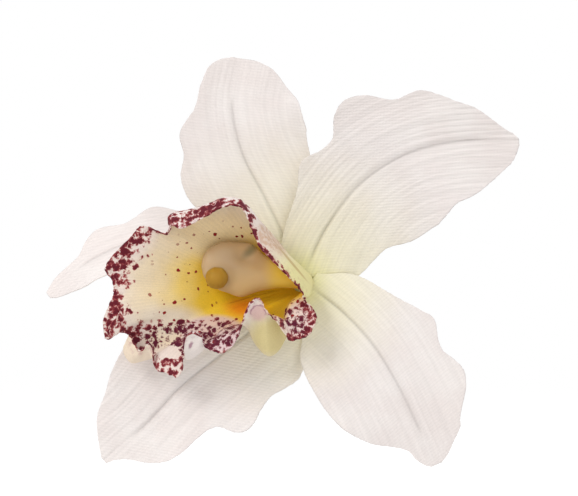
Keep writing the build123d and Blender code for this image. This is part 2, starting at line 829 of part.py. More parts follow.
def make_spring():
    """Torsion spring: turns round the pin, and a straight leg against each lever."""
    lever = lower_jaw_line()[-2:]
    lever_angle = math.atan2(lever[1][1] - lever[0][1], lever[1][0] - lever[0][0])
    fixed_room = mouth_gap / 2 - spring_wire_radius - spring_leg_gap - spring_turn_radius
    fixed_angle = -math.asin(fixed_room / spring_leg_length)
    lever_point = lever[0]
    z, y = lever_point[0] - pivot_above_origin, lever_point[1]
    lever_distance = y * math.cos(lever_angle) - z * math.sin(lever_angle)
    room = lever_distance - spring_wire_radius - spring_leg_gap - spring_turn_radius
    moving_angle = lever_angle + math.asin(room / spring_leg_length)
    # Angles are measured from +Z towards +Y. The turns start where the fixed leg ends, and
    # run down its side, under the pin and up to where the moving leg leaves them.
    first = fixed_angle - math.pi / 2
    sweep_angle = moving_angle + math.pi / 2 - first - 2 * math.pi * spring_turns
    steps = math.ceil(abs(sweep_angle) / (math.pi / 2))
    length = spring_pitch * abs(sweep_angle) / (2 * math.pi)
    rise = length / abs(sweep_angle)
    radius = spring_turn_radius
    points, ways = [], []
    for i in range(steps + 1):
        angle = first + sweep_angle * i / steps
        y_share, z_share = math.sin(angle), math.cos(angle)
        y, z = radius * y_share, pivot_above_origin + radius * z_share
        points.append(Vector(length * (i / steps - 0.5), y, z))
        ways.append(Vector(rise, -radius * z_share, radius * y_share).normalized())
    edges = [Edge.make_line(points[0] - ways[0] * spring_leg_length, points[0])]
    for i in range(steps):
        edges += biarc(points[i], ways[i], points[i + 1], ways[i + 1])
    edges.append(Edge.make_line(points[-1], points[-1] + ways[-1] * spring_leg_length))
    path = Wire(edges)
    section = Plane(origin=path @ 0, z_dir=path % 0) * RegularPolygon(spring_wire_radius, spring_wire_sides)
    gap = length * 2 * math.pi / abs(sweep_angle) - 2 * spring_wire_radius
    print(f"spring: {abs(sweep_angle) / (2 * math.pi):.2f} turns, least gap between turns {gap:.2f} mm")
    return sweep(section, path=path)


os.makedirs("parts", exist_ok=True)
pieces = {name: make_petal(name) for name in petals}
pieces |= {name.replace("petal", "wire"): make_wire(name) for name in petals}
pieces |= {
    "lip": make_lip(),
    "column": make_column(),
    "anther_cap": make_anther_cap(),
    "calyx": make_calyx(),
    "flower_glue": make_flower_glue(),
    "felt_pad": make_felt(),
    "clip_glue": make_clip_glue(),
    "clip_upper_jaw": make_upper_jaw(),
    "clip_lower_jaw": make_lower_jaw(),
    "clip_pin": make_pin(),
    "clip_spring": make_spring(),
}
for name, piece in pieces.items():
    export_step(piece, f"parts/{name}.step")
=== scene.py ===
import bpy
from math import copysign, cos, exp, hypot, pi, radians, sin
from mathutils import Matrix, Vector, noise


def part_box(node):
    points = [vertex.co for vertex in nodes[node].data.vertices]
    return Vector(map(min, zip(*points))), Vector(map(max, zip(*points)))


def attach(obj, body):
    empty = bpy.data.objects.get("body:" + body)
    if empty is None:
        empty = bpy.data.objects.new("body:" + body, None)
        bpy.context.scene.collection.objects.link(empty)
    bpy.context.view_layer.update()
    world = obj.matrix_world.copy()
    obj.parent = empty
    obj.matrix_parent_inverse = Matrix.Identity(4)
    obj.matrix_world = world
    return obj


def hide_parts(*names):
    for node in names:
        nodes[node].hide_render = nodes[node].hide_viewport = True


# An artificial orchid bloom on a spring hair clip. Lengths are millimetres where a table
# doesn't say otherwise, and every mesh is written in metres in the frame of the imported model.
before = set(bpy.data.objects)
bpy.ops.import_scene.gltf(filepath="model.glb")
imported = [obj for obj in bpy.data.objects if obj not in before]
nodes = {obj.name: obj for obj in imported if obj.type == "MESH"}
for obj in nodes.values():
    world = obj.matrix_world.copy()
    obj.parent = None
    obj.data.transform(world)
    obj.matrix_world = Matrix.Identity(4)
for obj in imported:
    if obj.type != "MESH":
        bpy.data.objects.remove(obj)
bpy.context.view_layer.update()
MM = 0.001
FULL_TURN = 2 * pi

# Camera: the photograph's frame, with a long lens straight in front of the bloom
PHOTO_WIDTH, PHOTO_HEIGHT = 578, 496
MM_PER_PIXEL = 0.245
HUB_U, HUB_V = 302, 282
CAMERA_DISTANCE = 1200
BLOOM_PLANE = 13
SENSOR_WIDTH = 36

camera_data = bpy.data.cameras.new("camera")
camera = bpy.data.objects.new("camera", camera_data)
bpy.context.scene.collection.objects.link(camera)
camera_data.sensor_width = SENSOR_WIDTH
camera_data.lens = SENSOR_WIDTH * (CAMERA_DISTANCE - BLOOM_PLANE) / (PHOTO_WIDTH * MM_PER_PIXEL)
camera_data.clip_start = 0.05
camera_data.clip_end = 20
camera.location = (
    (PHOTO_WIDTH / 2 - HUB_U) * MM_PER_PIXEL * MM,
    -CAMERA_DISTANCE * MM,
    (HUB_V - PHOTO_HEIGHT / 2) * MM_PER_PIXEL * MM,
)
camera.rotation_euler = (radians(90), 0, 0)
bpy.context.scene.camera = camera
bpy.context.scene.view_settings.view_transform = "Standard"


# Node helpers
def feed(tree, socket, value):
    """Give a socket a number, a colour or the output of another node."""
    if isinstance(value, Value):
        tree.links.new(value.socket, socket)
    elif isinstance(value, tuple):
        socket.default_value = value if len(value) == len(socket.default_value) else (*value, 1)
    else:
        socket.default_value = value


def add_node(tree, kind, **values):
    """A new node with its named inputs filled."""
    node = tree.nodes.new("ShaderNode" + kind)
    for name, value in values.items():
        feed(tree, node.inputs[name.replace("_", " ")], value)
    return node


class Value:
    """The output of a node, which adds, multiplies and divides like a number."""

    def __init__(self, tree, socket):
        self.tree, self.socket = tree, socket

    def op(self, operation, *others):
        node = add_node(self.tree, "Math")
        node.operation = operation
        for socket, value in zip(node.inputs, (self, *others)):
            feed(self.tree, socket, value)
        return Value(self.tree, node.outputs[0])

    def __add__(self, other):
        return self.op("ADD", other)

    def __sub__(self, other):
        return self.op("SUBTRACT", other)

    def __mul__(self, other):
        return self.op("MULTIPLY", other)

    def __truediv__(self, other):
        return self.op("DIVIDE", other)

    def ranged(self, low, high, out_low=0.0, out_high=1.0, smooth=True):
        """From out_low at low to out_high at high, and level beyond them."""
        node = add_node(self.tree, "MapRange")
        node.interpolation_type = "SMOOTHSTEP" if smooth else "LINEAR"
        for socket, value in zip(node.inputs, (self, low, high, out_low, out_high)):
            feed(self.tree, socket, value)
        return Value(self.tree, node.outputs[0])

    def parts(self):
        """The three parts of a vector or colour."""
        node = add_node(self.tree, "SeparateXYZ", Vector=self)
        return [Value(self.tree, output) for output in node.outputs]

    def noise(self, scale, detail=2.0, roughness=0.5, output=0):
        node = add_node(self.tree, "TexNoise", Vector=self, Scale=scale, Detail=detail, Roughness=roughness)
        return Value(self.tree, node.outputs[output])

    def cells(self, scale):
        """Distance to the nearest of scattered points, and three chances that each cell keeps."""
        node = add_node(self.tree, "TexVoronoi", Vector=self, Scale=scale)
        return Value(self.tree, node.outputs["Distance"]), Value(self.tree, node.outputs["Color"]).parts()

    def drifted(self, scale, amount):
        """The point moved by a soft noise, so that what is drawn from it runs ragged."""
        moved = add_node(self.tree, "VectorMath")
        moved.operation = "MULTIPLY_ADD"
        for socket, value in zip(moved.inputs, (self.noise(scale, 2.5, output="Color"), (amount,) * 3, self)):
            feed(self.tree, socket, value)
        return Value(self.tree, moved.outputs[0])

    def ellipse(self, center, radii, tilt_degrees=0):
        """Distance in the plane of the picture over an ellipse's radius, 1 on its edge."""
        x, _, z = self.parts()
        x, z, tilt = x - center[0], z - center[1], radians(tilt_degrees)
        along = (x * cos(tilt) + z * sin(tilt)) / radii[0]
        across = (z * cos(tilt) - x * sin(tilt)) / radii[1]
        return (along * along + across * across).op("POWER", 0.5)


def mix(one, two, share=1.0, blend="MIX"):
    """Colour one turned into colour two by a share of it."""
    tree = next(value.tree for value in (one, two, share) if isinstance(value, Value))
    node = add_node(tree, "Mix")
    node.data_type = "RGBA"
    node.blend_type = blend
    for number, value in ((0, share), (6, one), (7, two)):
        feed(tree, node.inputs[number], value)
    return Value(tree, node.outputs[2])


def patch(color, point, center, radii, edge, share, paint, tilt_degrees=0):
    """Paint an ellipse on a colour, by a share that fades out between the two edges."""
    return mix(color, paint, point.ellipse(center, radii, tilt_degrees).ranged(*edge, share, 0.0))


def ramp(value, stops):
    node = add_node(value.tree, "ValToRGB", Fac=value)
    elements = node.color_ramp.elements
    while len(elements) < len(stops):
        elements.new(0.5)
    for element, (position, color) in zip(elements, stops):
        element.position = position
        element.color = (*color, 1)
    return Value(value.tree, node.outputs[0])


def mapped(tree, source, output, scale=(1000, 1000, 1000), turn=(0, 0, 0)):
    """A place in millimetres, turned and scaled for a pattern."""
    mapping = add_node(tree, "Mapping", Vector=Value(tree, source.outputs[output]), Scale=scale, Rotation=turn)
    return Value(tree, mapping.outputs[0])


def object_point(tree, **changes):
    return mapped(tree, add_node(tree, "TexCoord"), "Object", **changes)


def uv_parts(tree, name):
    layer = add_node(tree, "UVMap")
    layer.uv_map = name
    return mapped(tree, layer, 0).parts()


def blank_tree(owner, output):
    """The emptied node tree of a material or world, and its output's first socket."""
    owner.use_nodes = True
    owner.node_tree.nodes.clear()
    return owner.node_tree, add_node(owner.node_tree, output).inputs[0]


def new_material(name):
    """A material, its shader and the place on the piece in millimetres."""
    material = bpy.data.materials.new(name)
    tree, surface = blank_tree(material, "OutputMaterial")
    shader = add_node(tree, "BsdfPrincipled")
    tree.links.new(shader.outputs[0], surface)
    return material, shader, object_point(tree)


def finish_shader(shader, color, height, strength, distance_mm, **values):
    """Join colour and relief to a shader, and set its other values."""
    tree = height.tree
    feed(tree, shader.inputs["Base Color"], color)
    relief = add_node(tree, "Bump", Strength=strength, Distance=distance_mm * MM, Height=height)
    tree.links.new(relief.outputs[0], shader.inputs["Normal"])
    for name, value in values.items():
        feed(tree, shader.inputs[name.replace("_", " ")], value)


# Mesh helpers
def curve_weights(u):
    """Weights of a smooth step's two ends and two slopes, at a share u of its way."""
    return 2 * u**3 - 3 * u**2 + 1, 3 * u**2 - 2 * u**3, u**3 - 2 * u**2 + u, u**3 - u**2


def smooth_value(rows, station, column):
    """Value of one column of a table at a station, on a smooth curve through its rows."""
    last = len(rows) - 1
    low = 0
    while low < last - 1 and rows[low + 1][0] < station:
        low += 1
    slopes = []
    for i in (low, low + 1):
        before, after = rows[max(i - 1, 0)], rows[min(i + 1, last)]
        slopes.append((after[column] - before[column]) / (after[0] - before[0]))
    step = rows[low + 1][0] - rows[low][0]
    first, second, leaving, arriving = curve_weights((station - rows[low][0]) / step)
    near = first * rows[low][column] + leaving * step * slopes[0]
    return near + (second * rows[low + 1][column] + arriving * step * slopes[1])


def uneven(x, y, z):
    """A soft noise from about -1 to 1."""
    return noise.noise(Vector((x, y, z)))


def smooth_step(value, low, high):
    t = min(max((value - low) / (high - low), 0), 1)
    return t * t * (3 - 2 * t)


def new_piece(name, vertices, faces, materials, indices=None, uvs=None):
    """A mesh object from points in millimetres. uvs holds layers of one (u, v) for each point."""
    mesh = bpy.data.meshes.new(name)
    mesh.from_pydata([tuple(c * MM for c in v) for v in vertices], [], faces)
    for material in materials:
        mesh.materials.append(material)
    if indices:
        mesh.polygons.foreach_set("material_index", indices)
    mesh.polygons.foreach_set("use_smooth", [True] * len(mesh.polygons))
    for layer_name, layer in (uvs or {}).items():
        data = mesh.uv_layers.new(name=layer_name)
        flat = []
        for loop in mesh.loops:
            flat += layer[loop.vertex_index]
        data.data.foreach_set("uv", flat)
    mesh.update()
    piece = bpy.data.objects.new(name, mesh)
    bpy.context.scene.collection.objects.link(piece)
    return piece


def place(piece, body, slot, stands_for=None):
    """Hang a piece on its body, and hide the solid that it stands for; the material slot is not used."""
    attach(piece, body)
    if stands_for:
        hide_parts(stands_for)


def grid_normals(grid):
    rows, columns = len(grid), len(grid[0])

    def normal(i, j):
        along = grid[min(i + 1, rows - 1)][j] - grid[max(i - 1, 0)][j]
        across = grid[i][min(j + 1, columns - 1)] - grid[i][max(j - 1, 0)]
        return along.cross(across).normalized()

    return [[normal(i, j) for j in range(columns)] for i in range(rows)]


def grid_area(grid):
    """Area of a sheet in square metres."""
    area = 0
    for line, following in zip(grid, grid[1:]):
        for j in range(len(line) - 1):
            area += (following[j + 1] - line[j]).cross(following[j] - line[j + 1]).length / 2
    return area * MM**2


def sheet_piece(name, grid, materials, layers):
    """Cloth with two faces about a grid of points: material 0 in front, 1 behind, 2 at the cut edge."""
    rows, columns = len(grid), len(grid[0])
    normals = grid_normals(grid)
    vertices, uvs = [], {key: [] for key in layers}
    for side in (0.5, -0.5):
        for i in range(rows):
            for j in range(columns):
                vertices.append(grid[i][j] + normals[i][j] * FABRIC * side)
                for key, layer in layers.items():
                    uvs[key].append(layer[i][j])
    half = rows * columns
    faces, indices = [], []
    for i in range(rows - 1):
        for j in range(columns - 1):
            a, b = i * columns + j, (i + 1) * columns + j
            faces += [(a, b, b + 1, a + 1), (half + a + 1, half + b + 1, half + b, half + a)]
            indices += [0, 1]
    rim = [(0, j) for j in range(columns)] + [(i, columns - 1) for i in range(1, rows)]
    rim += [(rows - 1, j) for j in range(columns - 2, -1, -1)] + [(i, 0) for i in range(rows - 2, 0, -1)]
    for (i, j), (k, m) in zip(rim, rim[1:] + rim[:1]):
        a, b = i * columns + j, k * columns + m
        faces.append((a, b, half + b, half + a))
        indices.append(2)
    return new_piece(name, vertices, faces, materials, indices, uvs)


def around(sides, point_at):
    """A ring of points from a function of the angle."""
    return [point_at(FULL_TURN * j / sides) for j in range(sides)]


def ring_piece(name, rings, material):
    """A closed skin over rings of points in order, with fans at both ends."""
    sides = len(rings[0])
    vertices = [point for ring in rings for point in ring]
    faces = []
    for i in range(len(rings) - 1):
        for j in range(sides):
            a, b = i * sides + j, i * sides + (j + 1) % sides
            faces.append((a, b, b + sides, a + sides))
    for ring, start, order in ((rings[0], 0, -1), (rings[-1], (len(rings) - 1) * sides, 1)):
        middle = len(vertices)
        vertices.append(sum(ring, Vector()) / sides)
        for j in range(sides):
            a, b = start + j, start + (j + 1) % sides
            faces.append((a, b, middle) if order > 0 else (b, a, middle))
    return new_piece(name, vertices, faces, [material])


def tube_rings(points, ways, radius, sides, ends=5):
    """Rings of a round tube along points, with rounded ends."""
    rings = []
    over = Vector((0, -1, 0))
    turns = [pi / 2 * k / ends for k in range(ends + 1)]
    stations = [(0, -radius * cos(t), radius * sin(t)) for t in turns[:-1]]
    stations += [(i, 0.0, radius) for i in range(len(points))]
    stations += [(len(points) - 1, radius * sin(t), radius * cos(t)) for t in turns[1:]]
    for i, shift, size in stations:
        way = ways[i]
        over = (over - way * over.dot(way)).normalized()
        side = way.cross(over)
        size = max(size, radius * 0.02)
        middle = points[i] + way * shift
        rings.append(around(sides, lambda t: middle + (over * cos(t) + side * sin(t)) * size))
    return rings


def lathe_piece(name, profile, material, wobble, sides=96):
    """A turned piece about the Y axis from (radius, y) pairs, made uneven by a function."""
    rings = []
    for radius, y in profile:
        rings.append(around(sides, lambda turn: wobble(
            Vector((radius * cos(turn), y, radius * sin(turn))), turn, radius)))
    return ring_piece(name, rings, material)


# The radius of a turned piece's profile where it meets the axis
AXIS_RADIUS = 0.02


def rounded_profile(radius, back, front, roundness, steps=8):
    """Profile of a flat disc with rounded edges, from its back face to its front."""
    shares = (0.35, 0.7, 0.88)
    profile = [(AXIS_RADIUS, -back)] + [(radius * share, -back) for share in shares]
    turns = [pi / 2 * k / steps for k in range(steps + 1)]
    for t in turns:
        profile.append((radius - roundness * (1 - sin(t)), -(back + roundness * (1 - cos(t)))))
    for t in turns:
        profile.append((radius - roundness * (1 - cos(t)), -(front - roundness * (1 - sin(t)))))
    return profile + [(radius * share, -front) for share in reversed(shares)] + [(AXIS_RADIUS, -front)]


# Petals: the same tables and stack as the solids, with creases and veins added. A row of the
# edges is a place along the rib and the half widths there, in hundredths of the petal's length
# and width. The rib's points are shares of the length.
FABRIC = 0.30
CALYX_FRONT = 9.4
TAB = 0.45
STACK = ("left_petal", "upper_left_petal", "lower_left_petal", "upper_right_petal", "lower_right_petal", "lip")
FLAT_BASE = 0.05
BEND = 0.08
TWIST_RUN = 0.34
ROOT_STATION = 0.03
FRAY = 0.12
CREASE_WIDTH = 0.52
VEIN_SPACING = 1.3
SOFT_WAVE, FINE_WAVE = 0.38, 0.10
CLOTH_MAP_WIDTH = 0.01

PETAL_COLOR = (0.86, 0.79, 0.765)
PETAL_PALE = (0.90, 0.845, 0.82)
CREAM_COLOR = (0.91, 0.86, 0.62)
BASE_COLOR = (0.85, 0.82, 0.38)
RIB_SPACING, THREAD_SPACING = 0.70, 0.36

petals = {
    "upper_left_petal": {
        "length": 59.0, "width": 33.0, "lean": 0.03, "curl": 0.0, "cup": 0.01, "fold": 0.12,
        "twist": 0.0, "ripple": 0.053, "waves": 2.6, "wire": (0.24, 0.80),
        "weave_turn": -6, "yellow": 23, "tone": 0.93, "veins": 0.35,
        "vein": 0.035, "crease": 0.55,
        "rib": ((0, 0), (-0.07, 0.18), (-0.16, 0.36), (-0.25, 0.54), (-0.29, 0.74), (-0.26, 0.93)),
        "edges": (
            (0, 7, 7), (8, 13, 12), (15, 20, 16), (25, 30, 28),
            (35, 38, 37), (44, 44.5, 44), (52, 50, 48), (59, 49, 50.5),
            (65, 42, 51), (72, 41, 50.5), (79, 28, 49.5), (87, 24, 47),
            (93, 21.5, 37), (96, 18, 31), (98.5, 12.5, 23), (100, 5, 12),
        ),
    },
    "upper_right_petal": {
        "length": 69.7, "width": 36.6, "lean": 0.30, "curl": 0.22, "cup": 0.08, "fold": 0.13,
        "twist": 0.0, "ripple": 0.059, "waves": 2.8, "wire": (0.13, 0.86),
        "weave_turn": 3, "yellow": 20, "tone": 0.905, "veins": 0.65,
        "vein": 0.07, "crease": 0.6,
        "rib": ((0, 0), (0.08, 0.18), (0.20, 0.34), (0.368, 0.449), (0.563, 0.494), (0.76, 0.495)),
        "edges": (
            (0, 9, 9), (4, 15, 20), (8, 21, 31), (13, 24, 36),
            (20, 26.5, 38.5), (27, 30.5, 41.5), (33.5, 39, 48), (39, 34.5, 51),
            (43.5, 35.5, 52), (47, 46, 52.5), (51, 51, 52.5), (56, 47.5, 52),
            (62, 37, 51), (69, 38, 46.5), (74, 33, 41), (79, 27, 38.5),
            (85, 21, 35), (90, 14, 28.5), (95, 7.5, 19.5), (98, 4.5, 13), (100, 1, 3),
        ),
    },
    "lower_right_petal": {
        "length": 56.7, "width": 34.4, "lean": 0.24, "curl": 0.20, "cup": 0.05, "fold": 0.12,
        "twist": 0.0, "ripple": 0.053, "waves": 2.7, "wire": (0.14, 0.84),
        "weave_turn": 38, "yellow": 16, "tone": 0.935, "veins": 0.4,
        "vein": 0.03, "crease": 0.5,
        "rib": ((0, 0), (0.162, -0.118), (0.30, -0.262), (0.407, -0.432), (0.495, -0.612), (0.575, -0.79)),
        "edges": (
            (0, 9, 9), (7, 15, 15), (13, 23, 29), (20, 28.5, 43),
            (27, 31.5, 49), (34, 35.5, 52), (41, 41.5, 53.5), (46, 46, 54),
            (53, 41, 54), (58, 40, 53), (63, 44, 51.5), (68, 46.5, 49),
            (74, 43, 43), (80, 36, 34), (85, 30, 22), (89, 27, 14),
            (94, 18, 11), (98, 11, 7), (100, 5, 3),
        ),
    },
    "lower_left_petal": {
        "length": 65.5, "width": 36.0, "lean": 0.05, "curl": 0.02, "cup": 0.01, "fold": 0.12,
        "twist": 0.0, "ripple": 0.053, "waves": 2.7, "wire": (0.16, 0.84),
        "weave_turn": -10, "yellow": 20, "tone": 0.985, "veins": 0.5,
        "vein": 0.05, "crease": 0.6,
        "rib": ((0, 0), (-0.14, -0.14), (-0.30, -0.27), (-0.45, -0.39), (-0.59, -0.54), (-0.74, -0.67)),
        "edges": (
            (0, 8, 8), (6, 14, 10), (12, 24, 14), (18, 37, 19),
            (24, 45.5, 25), (30, 45, 31), (35, 43.5, 36), (41, 46, 42),
            (46, 50.5, 46), (51, 51.5, 51), (56, 47, 50), (60, 38, 49),
            (65, 34, 46), (71, 32, 43), (77, 31, 39), (83, 27.5, 34),
            (88, 20, 30), (92, 11, 25), (96, 5, 15), (100, 2, 3),
        ),
    },
    "left_petal": {
        "length": 68.2, "width": 21.4, "lean": -0.14, "curl": 0.0, "cup": 0.03, "fold": 0.10,
        "twist": 46.0, "ripple": 0.047, "waves": 2.4, "wire": (0.20, 0.84),
        "weave_turn": 12, "yellow": 12, "tone": 1.0, "veins": 0.4,
        "vein": 0.04, "crease": 0.3,
        "rib": ((0, 0), (-0.19, 0.07), (-0.38, 0.13), (-0.57, 0.15), (-0.76, 0.08), (-0.92, -0.05)),
        "edges": (
            (0, 12, 12), (8, 20, 20), (18, 34, 34), (30, 43, 44),
            (42, 45, 49), (50, 44, 51), (57, 42, 54), (62, 40, 40),
            (66, 38, 34), (74, 36, 41), (79, 34, 32), (83, 32, 18),
            (88, 30, 15), (94, 20, 14), (98, 12, 9), (100, 5, 5),
        ),
    },
}


def petal_material(name, petal):
    """Ribbed white cloth, yellow towards the throat, with veins, and painted shade along the crease over the wire.
    """
    material, shader, point = new_material(name)
    tree = point.tree
    turned = object_point(tree, turn=(0, radians(petal["weave_turn"]), 0))
    x, _, z = turned.parts()
    rib = ((z + turned.noise(0.35) * 0.5) * (FULL_TURN / RIB_SPACING)).op("SINE")
    thread = (x * (FULL_TURN / THREAD_SPACING)).op("SINE")
    weave = turned.noise(2.6, 3.0, 0.7) * 1.6 + (thread * 0.35 + rib)

    soft = point.noise(0.09, 3.0)
    away = soft * 8.0 + point.ellipse((0, 0), (1, 1))
    cloth = mix(PETAL_COLOR, PETAL_PALE, soft.ranged(0.35, 0.65))
    cloth = mix(cloth, CREAM_COLOR, away.ranged(6.0, petal["yellow"] * 2.2, 0.9, 0.0))
    cloth = mix(cloth, BASE_COLOR, away.ranged(4.0, petal["yellow"] * 0.8, 0.9, 0.0))

    side, pressed, _ = uv_parts(tree, "rib")
    lane = add_node(tree, "CombineXYZ", X=side * 1.15, Y=uv_parts(tree, "cloth")[1] * 0.035)
    veins = Value(tree, lane.outputs[0]).noise(1.0, 2.0, 0.6)
    strength = petal["veins"]
    tone = weave.ranged(-1.2, 2.6, 0.965, 1.02)
    tone = tone * veins.ranged(0.34, 0.66, 1 - 0.10 * strength, 1 + 0.03 * strength)
    # Painted shade: the cloth is darkened along the crease over the wire, where shade gathers in the pressed line.
    near = side / 0.42
    crease = (near * near * -1.0).op("EXPONENT") * pressed
    # Each petal's tone is painted shade: the same cloth is made darker or lighter petal by petal for how the light
    # falls on it.
    tone = tone * (crease * -0.18 + petal["tone"])
    finish_shader(shader, mix(cloth, tone, 1.0, "MULTIPLY"), veins * (5.0 * strength) + weave, 0.35, 0.05,
                  Roughness=0.78, Sheen_Weight=0.12, Sheen_Roughness=0.5, Specular_IOR_Level=0.25)
    return material


def mid_height(name):
    return CALYX_FRONT + TAB * (STACK.index(name) + 0.5)


def rib_point(petal, station):
    rows = [(i / (len(petal["rib"]) - 1), *share) for i, share in enumerate(petal["rib"])]
    return petal["length"] * smooth_value(rows, station, 1), petal["length"] * smooth_value(rows, station, 2)


def petal_row(name, station, columns, marks=None):
    """Points across a petal at one station. marks takes their distance from the rib and the crease's depth."""
    petal = petals[name]
    x, z = rib_point(petal, station)
    x0, z0 = rib_point(petal, max(station - 0.01, 0))
    x1, z1 = rib_point(petal, min(station + 0.01, 1))
    along_x, along_z = (x1 - x0) / hypot(x1 - x0, z1 - z0), (z1 - z0) / hypot(x1 - x0, z1 - z0)
    away = max(station - FLAT_BASE, 0)
    run = away**2 / (away + BEND)
    lift = petal["length"] * (petal["lean"] * run - petal["curl"] * run**2)
    turn = radians(petal["twist"]) * smooth_step(run, 0, TWIST_RUN)
    left, right = (petal["width"] * smooth_value(petal["edges"], station, column) for column in (2, 1))
    wire_low, wire_high = petal["wire"]
    pressed = smooth_step(station, wire_low - 0.10, wire_low)
    pressed *= 1 - smooth_step(station, wire_high - 0.04, wire_high + 0.05)
    fade = smooth_step(station, 0.06, 0.25)
    here = station * petal["length"]
    seed = STACK.index(name) * 17.3
    points = []
    for j in range(columns):
        across = -1 + 2 * j / (columns - 1)
        half_width, lane, phase = (right, 3.0, 0.5) if across > 0 else (left, 9.0, 2.2)
        ragged = uneven(here * 2.2, seed, lane)
        side = (half_width + FRAY * ragged * abs(across) ** 6) * across
        wave = sin(FULL_TURN * petal["waves"] * station + phase)
        rise = petal["fold"] * abs(across) + petal["cup"] * across**2 + petal["ripple"] * wave * abs(across) ** 3
        height = lift + half_width * rise * run
        height -= pressed * petal["crease"] * exp(-((side / CREASE_WIDTH) ** 2))
        if marks is not None:
            marks.append((side * MM, pressed * MM))
        drift = uneven(here * 0.05, side * 0.12, seed)
        height += fade * petal["vein"] * sin(FULL_TURN * (side / VEIN_SPACING + 0.8 * drift))
        height += fade * SOFT_WAVE * uneven(here * 0.085, side * 0.16, seed + 5)
        height += fade * FINE_WAVE * uneven(here * 0.12, side * 0.7, seed + 9)
        depth, level = side * sin(turn), side * cos(turn)
        points.append(Vector((x - along_z * level, -(mid_height(name) + height + depth), z + along_x * level)))
    return points


def make_petal(name):
    petal = petals[name]
    rows, columns = ((200, 91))
    grid, cloth, ribs = [], [], []
    for i in range(rows):
        station = ROOT_STATION + (1 - ROOT_STATION) * i / (rows - 1)
        ribs.append([])
        grid.append(petal_row(name, station, columns, ribs[-1]))
        cloth.append([(CLOTH_MAP_WIDTH * j / (columns - 1), station * petal["length"] * MM) for j in range(columns)])
    front = petal_material(name + "_cloth", petal)
    piece = sheet_piece(name + "_sheet", grid, [front] * 3, {"cloth": cloth, "rib": ribs})
    place(piece, "bloom", "petal_fabric", name)
    grid_area(grid)


for petal_name, petal in petals.items():
    petal["edges"] = [[value / 100 for value in row] for row in petal["edges"]]
    make_petal(petal_name)


